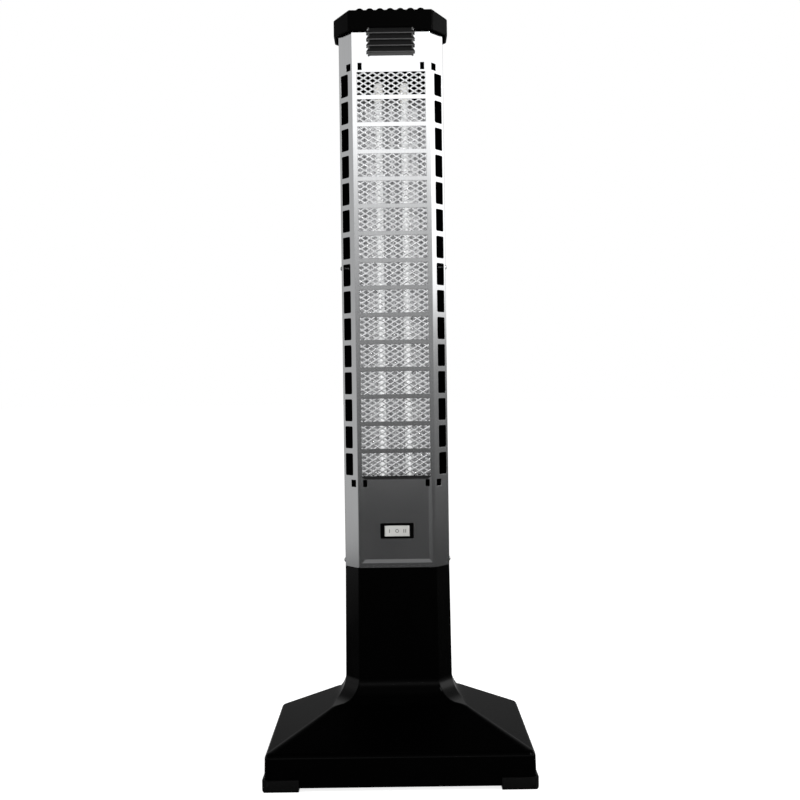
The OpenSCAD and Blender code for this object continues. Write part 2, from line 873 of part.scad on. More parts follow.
// Rain louvre in front of the upper vent: a frame, two cheeks and sloping blades
module vent_louvre() {
    z = louvre_z;
    color(black) {
        difference() {
            translate([-louvre_core_w / 2, front_y - louvre_frame_t, z])
                cube([louvre_core_w, louvre_frame_t, louvre_h]);
            translate([-louvre_core_w / 2 + louvre_rim, front_y - far / 2, z + louvre_rim])
                cube([louvre_core_w - 2 * louvre_rim, far, louvre_h - 2 * louvre_rim]);
        }
        mirrored_x()
            translate([louvre_core_w / 2 - cheek_t, front_y - louvre_proud + cheek_back, z])
                cube([cheek_t, louvre_proud - cheek_back, louvre_h]);
        for (i = [0:louvre_count - 1])
            intersection() {
                translate([-louvre_w / 2, front_y - louvre_proud,
                        z + louvre_low + i * louvre_pitch])
                    rotate([90, 0, 90]) linear_extrude(louvre_w)
                        polygon([[0, 0], [blade_foot, 0],
                            [louvre_proud - blade_back, louvre_pitch - blade_lip],
                            [louvre_proud - blade_back, louvre_pitch + blade_lip],
                            [louvre_proud - blade_back - blade_t, louvre_pitch + blade_lip],
                            [0, blade_lip]]);
                blade_outline(z + louvre_low + i * louvre_pitch);
            }
    }
}

// Screws through both shells, with domed heads outside
module side_screws() {
    r = (screw_head_d * screw_head_d / 4 + screw_head_h * screw_head_h)
        / (2 * screw_head_h);
    color(steel) for (side = [-1, 1], rise = screw_rises)
        translate([side * column_w / 2, screw_y, column_z + rise])
            rotate([0, side * 90, 0]) {
                translate([0, 0, -screw_len]) cylinder(d = screw_d, h = screw_len + tiny);
                intersection() {
                    translate([0, 0, screw_head_h - r]) sphere(r, $fn = 64);
                    cylinder(d = screw_head_d + tiny, h = screw_head_h + tiny);
                }
            }
}

// Frame of the switch: a flange on the panel and a sleeve through it
module switch_bezel() {
    open_w = rocker_w + 2 * rocker_gap;
    open_h = rocker_h + 2 * rocker_gap;
    color(black) translate([0, 0, switch_z]) difference() {
        union() {
            translate([0, recess_y, 0]) rotate([90, 0, 0]) linear_extrude(bezel_proud)
                round_rect(bezel_w, bezel_h, bezel_r);
            block([sleeve_w, sleeve_d + tiny, sleeve_h],
                [0, recess_y + (sleeve_d - tiny) / 2, -sleeve_h / 2]);
        }
        block([open_w, far, open_h], [0, 0, -open_h / 2]);
        translate([0, pivot_y, 0])
            cylinder(d = trunnion_d + 2 * pin_gap,
                h = open_h + 2 * (trunnion_len + trunnion_gap), center = true);
    }
}

// Housing of the contacts behind the bezel
module switch_body() {
    color(black) block([switch_body_w, switch_body_d, switch_body_h],
        [0, switch_body_front + switch_body_d / 2, switch_z - switch_body_h / 2]);
}

// Blade terminals on the back of the switch
module switch_terminals() {
    color(brass) for (i = [-1, 0, 1])
        block([terminal_t, terminal_len, terminal_w],
            [i * terminal_pitch, switch_body_front + switch_body_d + terminal_len / 2,
                switch_z - terminal_w / 2]);
}

// The rocker: dished in front, its ends round about the pivot, with a trunnion above and below
module rocker() {
    end = sqrt(pow(rocker_w / 2, 2) - pow(pivot_y - rocker_front, 2));
    wide = rocker_w / 2 + tiny;
    steps = 8;
    dish = [for (i = [-steps:steps])
        [end * i / steps, rocker_front - pivot_y + rocker_dip * (1 - pow(i / steps, 2))]];
    color(white) translate([0, pivot_y, switch_z]) {
        intersection() {
            cylinder(d = rocker_w, h = rocker_h, center = true, $fn = 96);
            linear_extrude(rocker_h, center = true)
                polygon(concat(dish, [[wide, -rocker_end_half], [wide, rocker_end_half],
                    [rocker_w / 2 - rocker_taper, rocker_back],
                    [rocker_taper - rocker_w / 2, rocker_back],
                    [-wide, rocker_end_half], [-wide, -rocker_end_half]]));
        }
        cylinder(d = trunnion_d, center = true,
            h = rocker_h + 2 * (rocker_gap + trunnion_len - trunnion_gap));
    }
}

// Ceramic block where the leads meet, under the lower lamp bracket
module terminal_block() {
    color(ceramic) difference() {
        block([block_w, block_d, block_h], [0, block_y, bracket_bottom_z - block_h]);
        for (i = [0:block_ways - 1])
            translate([(i - (block_ways - 1) / 2) * way_x, block_y,
                    bracket_bottom_z - block_h / 2]) {
                rotate([90, 0, 0]) cylinder(d = way_d, h = far, center = true);
                translate([0, 0, -block_h]) cylinder(d = way_d, h = block_h);
            }
    }
}

// Clamp screws of the terminal block
module terminal_screws() {
    color(brass) for (i = [0:block_ways - 1])
        translate([(i - (block_ways - 1) / 2) * way_x, block_y,
                bracket_bottom_z - block_h])
            cylinder(d = way_d - 2 * way_gap, h = (block_h - wire_d) / 2 - end_gap);
}

// Point at t, from 0 to 1, on the smooth curve from b to c, which leaves b as from a to c and
// meets c as from b to d
function spline(a, b, c, d, t) =
    let(run = norm(c - b), leave = unit(c - a) * run, meet = unit(d - b) * run)
    b + leave * t + (3 * (c - b) - 2 * leave - meet) * t * t
        + (leave + meet - 2 * (c - b)) * t * t * t;
// A smooth path through the points, with steps points for each stretch
function smooth_path(p, steps) =
    let(n = len(p))
    [for (i = [0:n - 2], k = [0:steps - 1])
        spline(p[max(i - 1, 0)], p[i], p[i + 1], p[min(i + 2, n - 1)], k / steps),
        p[n - 1]];
// Directions across a path at point i, from a fixed sideways direction
function across(path, i) =
    let(t = unit(path[min(i + 1, len(path) - 1)] - path[max(i - 1, 0)]),
        s = unit(cross(t, [0.9, 0.43, 0.1])))
    [s, cross(t, s)];

// A round lead along a path
module lead(points) {
    n = lead_sides;
    path = smooth_path(points, lead_steps);
    rings = [for (i = [0:len(path) - 1], k = [0:n - 1])
        let(f = across(path, i), a = 360 * k / n)
        path[i] + wire_d / 2 * (cos(a) * f[0] + sin(a) * f[1])];
    last = len(path) - 1;
    polyhedron(rings, concat(
        [[for (k = [0:n - 1]) k]],
        [for (i = [0:last - 1], k = [0:n - 1], half = [0, 1])
            let(a = i * n + k, b = i * n + (k + 1) % n)
            half == 0 ? [a, a + n, b] : [b, a + n, b + n]],
        [[for (k = [n - 1:-1:0]) last * n + k]]));
}

// Leads between the block, the switch, the lamps and the tip-over switch
module inner_wiring() {
    ways_z = bracket_bottom_z - block_h / 2;
    pin_y = switch_body_front + switch_body_d + terminal_len + end_gap;
    pin_out = pin_y + lead_run;
    block_in = wire_d;
    block_out = block_d / 2 + lead_run;
    under = lamp_bottom - end_gap;
    switch_x = switch_body_w / 2 + 3 * wire_d;
    behind = shield_back + wire_d / 2 + lead_clear;
    return_x = lamp_x + 2 * wire_d;
    low_end = bracket_bottom_z + 3 * bracket_tab_h;
    high_end = bracket_top_z - 2 * bracket_tab_h;
    round_y = bracket_back + 2 * wire_d;
    jumper_z = bracket_top_z + sheet_t + wire_d / 2 + end_gap;
    lamp_side = lamp_cap_d / 2 + end_gap;
    outer_way = 1.5 * way_x;
    inner_way = way_x / 2;
    micro_x = -micro_d / 4;
    color(white) {
        // From the switch to the lower ends of the lamps
        for (side = [-1, 1])
            lead([[side * terminal_pitch, pin_y, switch_z],
                [side * terminal_pitch, pin_out, switch_z],
                [side * switch_body_w / 2, pin_out, switch_z - switch_body_h],
                [side * switch_x, pin_y - switch_body_d / 2, switch_z - terminal_len],
                [side * switch_x, lamp_y, switch_z + switch_body_h],
                [side * lamp_x, lamp_y, under - 3 * lead_run],
                [side * lamp_x, lamp_y, under - lead_run], [side * lamp_x, lamp_y, under]]);
        // From the switch to the terminal block
        lead([[0, pin_y, switch_z], [0, pin_out, switch_z],
            [inner_way, block_y - block_out - lead_run, ways_z - block_h],
            [inner_way, block_y - block_out, ways_z - lead_run / 2],
            [inner_way, block_y - block_d / 2, ways_z],
            [inner_way, block_y - block_in, ways_z]]);
        // From the terminal block down to the tip-over switch
        lead([[outer_way, block_y + block_in, ways_z],
            [outer_way, block_y + block_d / 2, ways_z],
            [outer_way, block_y + block_out, ways_z - lead_run / 2],
            [switch_body_w / 2, join_y, switch_z], [switch_body_w / 2, join_y, column_z],
            [tip_w / 4, micro_y, gland_z],
            [micro_x, micro_y, micro_top + 4 * lead_run],
            [micro_x, micro_y, micro_top + lead_run], [micro_x, micro_y, micro_top + end_gap]]);
        // From the terminal block behind the heat shield to the lamps' upper ends
        lead([[-outer_way, block_y + block_in, ways_z],
            [-outer_way, block_y + block_d / 2, ways_z],
            [-outer_way, block_y + block_out, ways_z + lead_run / 2],
            [-lamp_x, round_y, bracket_bottom_z + wire_d], [-return_x, behind, low_end],
            [-return_x, behind, low_end + bracket_below],
            [-return_x, behind, (low_end + high_end) / 2],
            [-return_x, behind, high_end - bracket_below], [-return_x, behind, high_end],
            [-lamp_x, round_y, bracket_top_z - wire_d],
            [-lamp_x, bracket_back - wire_d / 2, jumper_z + wire_d],
            [-lamp_x, lamp_y + lamp_side + 3 * lead_run, jumper_z],
            [-lamp_x, lamp_y + lamp_side + lead_run, jumper_z],
            [-lamp_x, lamp_y + lamp_side, jumper_z]]);
        // Across from one lamp to the other
        lead([[-lamp_x + lamp_side, lamp_y, jumper_z], [0, lamp_y, jumper_z],
            [lamp_x - lamp_side, lamp_y, jumper_z]]);
    }
}

// Outline, outwards and upwards, of the base from the skirt to the neck's top
function side_profile(neck_half, inset, low) =
    let(top = neck_half - neck_top_gap,
        path = shifted([[base_w / 2 + skirt_flare, base_lift], [base_w / 2, roof_z],
            [top + neck_draft, apex_z], [top, column_z]], inset),
        foot = path[0] + (path[0] - path[1]) * low / roof_z)
    concat([[foot.x, foot.y], path[1]],
        blend(path[1], path[2], path[3], blend_run, blend_steps), [path[3]]);
// The same for a corner face, which runs out in the roof
function corner_profile(inset) =
    let(top = corner_dist - neck_top_gap,
        path = shifted([[far, apex_z - (far - top) * tan(corner_slope)],
            [top + neck_draft, apex_z], [top, column_z]], inset))
    concat([[far, -far], path[0]],
        blend(path[0], path[1], path[2], blend_run, blend_steps), [path[2]]);

// The base as a solid, with every face moved in by inset, and reaching low further down
module base_form(inset, low) {
    side = side_profile(column_w / 2, inset, low);
    front = side_profile(column_d / 2, inset, low);
    corner = corner_profile(inset);
    faces = [[0, side], [180, side], [90, front], [270, front],
        [corner_angle, corner], [-corner_angle, corner],
        [180 - corner_angle, corner], [180 + corner_angle, corner]];
    width = base_w + 2 * (skirt_flare - inset);
    intersection() {
        translate([0, 0, -far]) linear_extrude(2 * far)
            round_rect(width, width, skirt_round - inset);
        base_faces(faces);
    }
}

// The space inside the base's faces, each an angle about Z and an outline
module base_faces(faces) {
    intersection_for(face = faces)
        rotate([0, 0, face[0]]) rotate([90, 0, 0]) translate([0, 0, -far])
            linear_extrude(2 * far)
                polygon(concat([[-far, face[1][0].y]], face[1],
                    [[-far, face[1][len(face[1]) - 1].y]]));
}

// Base and neck in one moulding, hollow from below, with a spigot for the column
module base_moulding() {
    color(black) difference() {
        union() {
            difference() {
                base_form(0, 0);
                base_form(base_wall, base_lift + skirt_open);
                translate([0, 0, column_z - base_wall - tiny])
                    linear_extrude(base_wall + 2 * tiny)
                        polygon(octagon(spigot_inset + base_wall));
            }
            difference() {
                translate([0, 0, column_z - spigot_root])
                    linear_extrude(spigot_h + spigot_root) difference() {
                        polygon(octagon(spigot_inset));
                        polygon(octagon(spigot_inset + base_wall));
                    }
                recess_form(sheet_t + fit_gap);
            }
            intersection() {
                base_form(base_wall / 2, 0);
                for (spot = boss_spots)
                    translate([spot.x, spot.y, plate_top]) cylinder(d = boss_d, h = apex_z);
            }
            translate([0, neck_back - base_wall / 2, gland_z]) rotate([-90, 0, 0])
                cylinder(d = gland_pad_d, h = gland_pad_t + base_wall / 2);
        }
        for (spot = boss_spots)
            translate([spot.x, spot.y, 0])
                cylinder(d = boss_hole_d, h = plate_top + boss_hole_h);
        translate([0, neck_back / 2, gland_z]) rotate([-90, 0, 0])
            cylinder(d = gland_hole_d, h = neck_back);
        for (side = [-1, 1])
            translate([side * column_w / 2, screw_y, column_z + screw_rises[0]])
                rotate([0, -side * 90, 0])
                    cylinder(d = screw_d + 2 * screw_gap, h = screw_len + base_wall);
    }
}

// Steel plate that closes the base from below
module base_plate() {
    half = base_w / 2 + skirt_flare - base_wall - plate_gap;
    color(iron) translate([0, 0, plate_z]) difference() {
        linear_extrude(plate_t)
            round_rect(2 * half, 2 * half, skirt_round - base_wall - plate_gap);
        for (spot = boss_spots)
            translate([spot.x, spot.y, -tiny])
                cylinder(d = boss_hole_d + 2 * screw_gap, h = plate_t + 2 * tiny);
        for (x = [-ballast_screw_place, ballast_screw_place])
            translate([x, 0, -tiny])
                cylinder(d = base_screw_d + 2 * screw_gap, h = plate_t + 2 * tiny);
        for (i = [-2, -1, 1, 2])
            translate([i * drain_pitch, ballast_w / 2 + drain_gap, -tiny])
                cylinder(d = drain_d, h = plate_t + 2 * tiny);
    }
}

// Iron slab that keeps the tower upright
module ballast() {
    color(iron) translate([0, 0, plate_top]) difference() {
        linear_extrude(ballast_h) round_rect(ballast_w, ballast_w, ballast_r);
        for (x = [-ballast_screw_place, ballast_screw_place])
            translate([x, 0, -tiny])
                cylinder(d = base_screw_d, h = ballast_h / 2 + tiny);
        for (x = [-tip_screw_x, tip_screw_x])
            translate([x, 0, ballast_h - tip_screw_len])
                cylinder(d = tip_pin_d, h = tip_screw_len + tiny);
    }
}

module base_screws() {
    color(steel) for (spot = boss_spots)
        translate([spot.x, spot.y, plate_z])
            screw(boss_hole_d, plate_t + base_screw_grip, base_head_d, base_head_h);
}

module ballast_screws() {
    color(steel) for (x = [-ballast_screw_place, ballast_screw_place])
        translate([x, 0, plate_z])
            screw(base_screw_d, plate_t + ballast_h / 2 - tiny, base_head_d, base_head_h);
}

// Rubber foot that wraps a corner of the skirt, here at the back right
module foot() {
    outer = base_w / 2 + skirt_flare + foot_proud;
    section = [[outer - foot_w, 0], [outer - foot_edge, 0], [outer - foot_edge / 3,
        foot_edge / 3], [outer, foot_edge], [outer, foot_h - foot_top_edge],
        [outer - foot_top_edge, foot_h], [outer - foot_w, foot_h]];
    difference() {
        intersection() {
            linear_extrude(foot_h) intersection() {
                round_rect(2 * outer, 2 * outer, foot_round);
                translate([outer - foot_w, outer - foot_w]) square(foot_w);
            }
            rotate([90, 0, 0]) translate([0, 0, -far]) linear_extrude(2 * far)
                polygon(section);
            rotate([90, 0, 90]) translate([0, 0, -far]) linear_extrude(2 * far)
                polygon(section);
        }
        base_form(0, 0);
    }
}

module foot_front_left() { color(black) mirror([0, 1, 0]) mirror([1, 0, 0]) foot(); }
module foot_front_right() { color(black) mirror([0, 1, 0]) foot(); }
module foot_back_left() { color(black) mirror([1, 0, 0]) foot(); }
module foot_back_right() { color(black) foot(); }

// Cable gland through the back of the neck: body, nut inside and clamping dome outside
module gland_body() {
    color(black) translate([0, 0, gland_z]) rotate([-90, 0, 0]) difference() {
        union() {
            translate([0, 0, gland_inside - gland_nut_t - gland_end])
                cylinder(d = gland_hole_d - 4 * gland_thread_gap,
                    h = gland_face + gland_flange_t + gland_thread_len
                        - gland_inside + gland_nut_t + gland_end);
            translate([0, 0, gland_face]) cylinder(d = gland_flange_d, h = gland_flange_t,
                $fn = 6);
        }
        cylinder(d = gland_bore, h = far);
    }
}

module gland_nut() {
    color(black) translate([0, gland_inside - gland_nut_t, gland_z]) rotate([-90, 0, 0])
        difference() {
            cylinder(d = gland_flange_d, h = gland_nut_t, $fn = 6);
            translate([0, 0, -tiny])
                cylinder(d = gland_hole_d - 2 * gland_thread_gap,
                    h = gland_nut_t + 2 * tiny);
        }
}

module gland_dome() {
    start = gland_face + gland_flange_t;
    color(black) translate([0, start, gland_z]) rotate([-90, 0, 0]) difference() {
        union() {
            cylinder(d = gland_dome_d, h = gland_dome_len - gland_taper_len);
            translate([0, 0, gland_dome_len - gland_taper_len])
                cylinder(d1 = gland_dome_d, d2 = gland_dome_d - gland_taper_d,
                    h = gland_taper_len);
        }
        translate([0, 0, -tiny])
            cylinder(d = gland_hole_d - 2 * gland_thread_gap, h = gland_thread_len + 2 * tiny);
        translate([0, 0, -tiny]) cylinder(d = gland_bore, h = far);
    }
}

// Frame of the tip-over switch, with a cheek in front of the pendulum and one behind it
module tip_bracket() {
    color(steel) difference() {
        union() {
            block([tip_w, tip_depth, tip_wall], [0, 0, tip_z]);
            for (side = [-1, 1])
                block([tip_w / 2, tip_wall, tip_h],
                    [0, side * (tip_depth - tip_wall) / 2, tip_z]);
            block([tip_w / 2, tip_depth, tip_wall], [0, 0, tip_z + tip_h - tip_wall]);
        }
        translate([0, 0, tip_pin_z]) rotate([90, 0, 0])
            cylinder(d = tip_pin_d, h = far, center = true);
        for (x = [-tip_screw_x, tip_screw_x])
            translate([x, 0, tip_z - tiny])
                cylinder(d = tip_pin_d + 2 * screw_gap, h = tip_wall + 2 * tiny);
    }
}

module tip_pin() {
    color(steel) translate([0, 0, tip_pin_z]) rotate([90, 0, 0])
        cylinder(d = tip_pin_d, h = tip_depth, center = true);
}

// Pendulum with its bob, which swings to the sides when the tower tips
module tip_pendulum() {
    color(brass) translate([0, 0, tip_pin_z]) difference() {
        union() {
            rotate([90, 0, 0]) cylinder(d = hub_d, h = arm_t, center = true);
            block([arm_w, arm_t, bob_drop], [0, 0, -bob_drop]);
            translate([0, 0, -bob_drop]) rotate([90, 0, 0])
                cylinder(d = bob_d, h = bob_len, center = true);
        }
        rotate([90, 0, 0]) cylinder(d = tip_pin_d + 2 * pin_gap, h = far, center = true);
    }
}

// Snap switch on the back cheek, above the pendulum's hub
module tip_microswitch() {
    color(black) {
        block([micro_d, micro_w, micro_h], [0, micro_y, micro_top - micro_h]);
        translate([micro_button_x, micro_y, micro_top - tiny])
            cylinder(d = micro_button_d, h = micro_button + tiny);
    }
}

module tip_screws() {
    color(steel) for (x = [-tip_screw_x, tip_screw_x])
        translate([x, 0, tip_z + tip_wall]) mirror([0, 0, 1])
            screw(tip_pin_d, tip_wall + tip_screw_len, tip_head_d, tip_head_h);
}

front_shell();
rear_shell();
mesh_guard();
reflector();
heat_shield();
lamp_bracket_top();
lamp_bracket_bottom();
quartz_tube_left();
quartz_tube_right();
heating_coil_left();
heating_coil_right();
ceramic_cap_top_left();
ceramic_cap_top_right();
ceramic_cap_bottom_left();
ceramic_cap_bottom_right();
thermal_cutout();
top_plate();
top_cap();
cap_screws();
vent_louvre();
side_screws();
switch_bezel();
switch_body();
switch_terminals();
rocker();
terminal_block();
terminal_screws();
inner_wiring();
base_moulding();
base_plate();
ballast();
base_screws();
ballast_screws();
foot_front_left();
foot_front_right();
foot_back_left();
foot_back_right();
gland_body();
gland_nut();
gland_dome();
tip_bracket();
tip_pin();
tip_pendulum();
tip_microswitch();
tip_screws();
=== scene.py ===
"""Looks of the infrared patio heater tower, laid out as a Blender add-on.

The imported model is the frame: metres, +Z up, front towards -Y.
"""
import json
import math

import bmesh
import bpy
from bpy.props import FloatProperty, FloatVectorProperty, IntProperty, PointerProperty
from mathutils import Matrix, Vector

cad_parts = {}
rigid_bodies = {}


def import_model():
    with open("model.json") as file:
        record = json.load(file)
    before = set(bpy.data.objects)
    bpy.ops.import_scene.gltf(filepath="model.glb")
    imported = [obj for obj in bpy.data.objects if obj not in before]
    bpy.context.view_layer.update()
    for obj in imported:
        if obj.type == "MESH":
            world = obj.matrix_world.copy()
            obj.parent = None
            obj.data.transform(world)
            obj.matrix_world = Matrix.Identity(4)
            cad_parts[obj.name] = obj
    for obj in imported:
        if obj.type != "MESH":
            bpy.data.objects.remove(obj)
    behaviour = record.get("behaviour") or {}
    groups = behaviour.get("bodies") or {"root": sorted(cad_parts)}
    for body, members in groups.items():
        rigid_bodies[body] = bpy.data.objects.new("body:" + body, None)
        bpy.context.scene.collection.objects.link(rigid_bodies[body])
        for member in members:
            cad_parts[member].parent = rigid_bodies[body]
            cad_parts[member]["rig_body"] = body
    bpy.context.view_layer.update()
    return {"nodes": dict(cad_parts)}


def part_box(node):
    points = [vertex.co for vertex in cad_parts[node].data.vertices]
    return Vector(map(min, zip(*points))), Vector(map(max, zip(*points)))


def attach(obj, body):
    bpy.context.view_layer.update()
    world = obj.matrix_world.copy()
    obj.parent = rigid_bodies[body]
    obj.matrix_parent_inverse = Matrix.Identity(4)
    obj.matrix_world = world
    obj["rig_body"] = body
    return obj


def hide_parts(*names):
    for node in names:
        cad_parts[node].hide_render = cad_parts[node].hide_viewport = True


bl_info = {
    "name": "Patio heater tower",
    "version": (1, 0, 0),
    "blender": (4, 5, 0),
    "location": "View3D > Sidebar > Heater",
    "description": "Models and finishes the pieces of an infrared patio heater tower",
    "category": "Object",
}

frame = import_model()
MM = 0.001

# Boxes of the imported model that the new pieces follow
SHELL_LOW, SHELL_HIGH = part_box("front_shell")
MESH_LOW, MESH_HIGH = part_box("mesh_guard")
BASE_LOW, BASE_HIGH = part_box("base_moulding")
PLATE_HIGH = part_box("base_plate")[1]
GLAND_LOW, GLAND_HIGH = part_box("gland_body")
ROCKER_LOW, ROCKER_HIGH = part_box("rocker")
TUBE_LOW, TUBE_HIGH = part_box("quartz_tube_right")
COIL_LOW, COIL_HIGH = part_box("heating_coil_right")

# The column's folds: half the width of its front and half the depth of its sides
FRONT_HALF = 49.5 * MM
SIDE_HALF = 23 * MM


def linear(hex_code):
    """Colour of an sRGB hex code as the linear values that shaders take."""
    parts = [int(hex_code[i : i + 2], 16) / 255 for i in (1, 3, 5)]
    return tuple(p / 12.92 if p <= 0.04045 else ((p + 0.055) / 1.055) ** 2.4 for p in parts)


def length(name, description, millimetres, least=0.0):
    """A property that holds a length, given in millimetres."""
    return FloatProperty(
        name=name,
        description=description,
        default=millimetres * MM,
        min=least * MM,
        unit="LENGTH",
    )


def colour(name, description, hex_code):
    """A property that holds a colour, given as an sRGB hex code."""
    return FloatVectorProperty(
        name=name, description=description, subtype="COLOR", default=linear(hex_code)
    )


class HeaterShellSettings(bpy.types.PropertyGroup):
    """Edges and colour of the folded sheet pieces."""

    fold_radius: length("Fold radius", "Outer radius of a fold in the column's sheet", 1.6, 0.5)
    cut_edge: length("Cut edge", "Rounding of a punched edge", 0.16, 0.02)
    steel_colour: colour("Steel colour", "Colour of the brushed stainless sheet", "#c9cacb")


class HeaterMeshSettings(bpy.types.PropertyGroup):
    """The expanded metal behind the windows."""

    long_way: length("Long way", "Width of a diamond, centre to centre", 11.7)
    short_way: length("Short way", "Height of a diamond, centre to centre", 6.9)
    strand: length("Strand", "Width of a strand", 2.1)
    tip: length("Tip", "How far the ends of each opening are filled by the knots", 0.6)
    relief: length("Relief", "How far the knots stand out of the strands", 0.3)


class HeaterLampSettings(bpy.types.PropertyGroup):
    """The two quartz lamps."""

    tube_wall: length("Tube wall", "Wall of a quartz tube", 1.0)
    wire: length("Wire", "Thickness of the heating wire", 0.6)
    doublings: IntProperty(
        name="Doublings",
        description="How often one turn of the heating wire is doubled: 8 gives 256 turns",
        default=8,
        min=4,
        max=9,
    )


class HeaterBaseSettings(bpy.types.PropertyGroup):
    """The moulded neck and base."""

    roof_edge: length("Roof edge height", "Height above the floor where skirt and roof meet", 44)
    flare: length("Skirt flare", "How much wider each side of the skirt gets downwards", 0.8)
    apex: length("Apex height", "Height above the floor where the roof would meet the neck", 93)
    draft: length("Neck draft", "How much wider each side of the neck gets down to the roof", 1.6)
    blend: length("Neck blend", "Run of the hollow curve between roof and neck", 24)
    edge_round: length("Roof edge rounding", "Run of the rounding between skirt and roof", 5)
    skirt_round: length(
        "Skirt corner", "Radius of the base's corners at the skirt, seen from above", 11
    )
    neck_round: length("Neck corner", "Radius of the neck's upright corners", 2.5)
    wall: length("Wall", "Wall of the moulding", 3)
    corner_steps: IntProperty(
        name="Corner steps",
        description="Faces round each corner",
        default=5,
        min=2,
    )
    black: colour("Moulding colour", "Colour of the black moulded plastic", "#010101")


class HeaterStageSettings(bpy.types.PropertyGroup):
    """Camera and light."""

    eye: FloatVectorProperty(
        name="Camera place",
        description="Where the camera stands",
        subtype="TRANSLATION",
        default=(0.0, -2.135, 0.489),
    )
    lens: FloatProperty(
        name="Focal length",
        description="Focal length of the camera in millimetres",
        default=73.67,
    )
    roll: FloatProperty(
        name="Roll",
        description="Turn of the camera about its line of sight",
        subtype="ANGLE",
        default=math.radians(0.774),
    )
    tent_radius: FloatProperty(
        name="Tent radius",
        description="Radius of the tent whose reflections the metal shows",
        default=25.0,
        unit="LENGTH",
    )
    floor_colour: colour("Floor colour", "Colour of the studio floor", "#f2f2f2")


def settings(name):
    """The scene's settings of one group."""
    return getattr(bpy.context.scene, name)


def add_node(tree, kind, inputs=None, **attributes):
    """Adds a shader node; an input is named or numbered and gets a value or another socket."""
    node = tree.nodes.new(kind)
    for key, value in attributes.items():
        setattr(node, key, value)
    for key, value in (inputs or {}).items():
        if isinstance(value, bpy.types.NodeSocket):
            tree.links.new(value, node.inputs[key])
        else:
            node.inputs[key].default_value = value
    return node


def new_material(name):
    """An empty node material with its output node."""
    material = bpy.data.materials.new(name)
    material.use_nodes = True
    tree = material.node_tree
    tree.nodes.clear()
    return material, tree, add_node(tree, "ShaderNodeOutputMaterial")


def rgba(colour):
    """A colour with an opaque alpha."""
    return (*colour, 1.0)


def object_place(tree, scale=(1, 1, 1)):
    """Object coordinates, stretched by scale."""
    place = add_node(tree, "ShaderNodeTexCoord").outputs["Object"]
    mapped = add_node(tree, "ShaderNodeMapping", {"Vector": place, "Scale": scale})
    return mapped.outputs["Vector"]


def noise(tree, place, scale, detail=2.0, roughness=0.5):
    """Soft random values at a place, scale per metre."""
    inputs = {"Vector": place, "Scale": scale, "Detail": detail, "Roughness": roughness}
    return add_node(tree, "ShaderNodeTexNoise", inputs).outputs["Fac"]


def maths(tree, kind, operation, *values):
    """First result of a math node of a kind."""
    return add_node(tree, kind, dict(enumerate(values)), operation=operation).outputs[0]


def spread(tree, value, low, high, start=0.0, end=1.0):
    """Maps a value between start and end softly to the range from low to high."""
    inputs = {"Value": value, "From Min": start, "From Max": end, "To Min": low, "To Max": high}
    node = add_node(tree, "ShaderNodeMapRange", inputs, interpolation_type="SMOOTHSTEP")
    return node.outputs["Result"]


def blend_colours(tree, factor, first, second):
    """Mixes two colours or colour sockets by a factor."""
    node = add_node(tree, "ShaderNodeMix", {"Factor": factor}, data_type="RGBA")
    for socket, colour in ((node.inputs[6], first), (node.inputs[7], second)):
        if isinstance(colour, bpy.types.NodeSocket):
            tree.links.new(colour, socket)
        else:
            socket.default_value = rgba(colour)
    return node.outputs[2]


def raised(tree, height, strength, depth_mm):
    """Normals of a relief."""
    inputs = {"Height": height, "Strength": strength, "Distance": depth_mm * MM}
    return add_node(tree, "ShaderNodeBump", inputs).outputs["Normal"]


def surface(tree, output, inputs):
    """Links a Principled shader with the given inputs to the output."""
    shader = add_node(tree, "ShaderNodeBsdfPrincipled", inputs)
    tree.links.new(shader.outputs[0], output.inputs["Surface"])


def brushed_stainless(colour):
    """Stainless sheet with a fine upright grain."""
    # Ferritic stainless, brushed along the sheet: streaks about 0.3 mm wide run up the column
    # and blur what it mirrors, and the sheet's rolling leaves soft clouds
    material, tree, output = new_material("brushed_stainless_sheet")
    grain = noise(tree, object_place(tree, (3300, 3300, 16)), 1.0, 3.0)
    clouds = noise(tree, object_place(tree), 9.0, 4.0)
    darker = [c * 0.9 for c in colour]
    streaks = spread(tree, grain, 0, 1, 0.25, 0.75)
    surface(tree, output, {
        "Base Color": blend_colours(tree, streaks, darker, colour),
        "Metallic": 1.0,
        "Roughness": spread(tree, clouds, 0.11, 0.15, 0.2, 0.8),
        "Normal": raised(tree, grain, 0.05, 0.04),
    })
    return material


def zinc_sheet(name, bright, dark, roughness, metallic=1.0):
    """Zinc coated steel: matt grey with a crystal pattern."""
    # Hot dipped zinc freezes in crystals about 6 mm wide that differ slightly in grey
    material, tree, output = new_material(name)
    crystals = add_node(
        tree, "ShaderNodeTexVoronoi", {"Vector": object_place(tree), "Scale": 1 / (6 * MM)}
    ).outputs["Color"]
    shade = add_node(tree, "ShaderNodeSeparateColor", {"Color": crystals}).outputs[0]
    fine = noise(tree, object_place(tree), 1 / (1.1 * MM))
    surface(tree, output, {
        "Base Color": blend_colours(tree, shade, dark, bright),
        "Metallic": metallic,
        "Roughness": spread(tree, shade, roughness - 0.05, roughness + 0.06),
        "Normal": raised(tree, fine, 0.15, 0.05),
    })
    return material


def shade_black_finish(name):
    """Matt black over steel: painted shade for inner faces that lie in shadow."""
    # Painted shade: flat black with a fine pebbled skin and slightly greyer patches, put on inner
    # faces where there is only shadow
    material, tree, output = new_material(name)
    skin = noise(tree, object_place(tree), 1 / (0.5 * MM), 3.0)
    patches = noise(tree, object_place(tree), 22.0, 4.0)
    surface(tree, output, {
        "Base Color": blend_colours(tree, patches, linear("#020202"), linear("#050505")),
        "Roughness": spread(tree, patches, 0.7, 0.85, 0.2, 0.8),
        "Specular IOR Level": 0.03,
        "Normal": raised(tree, skin, 0.4, 0.05),
    })
    return material


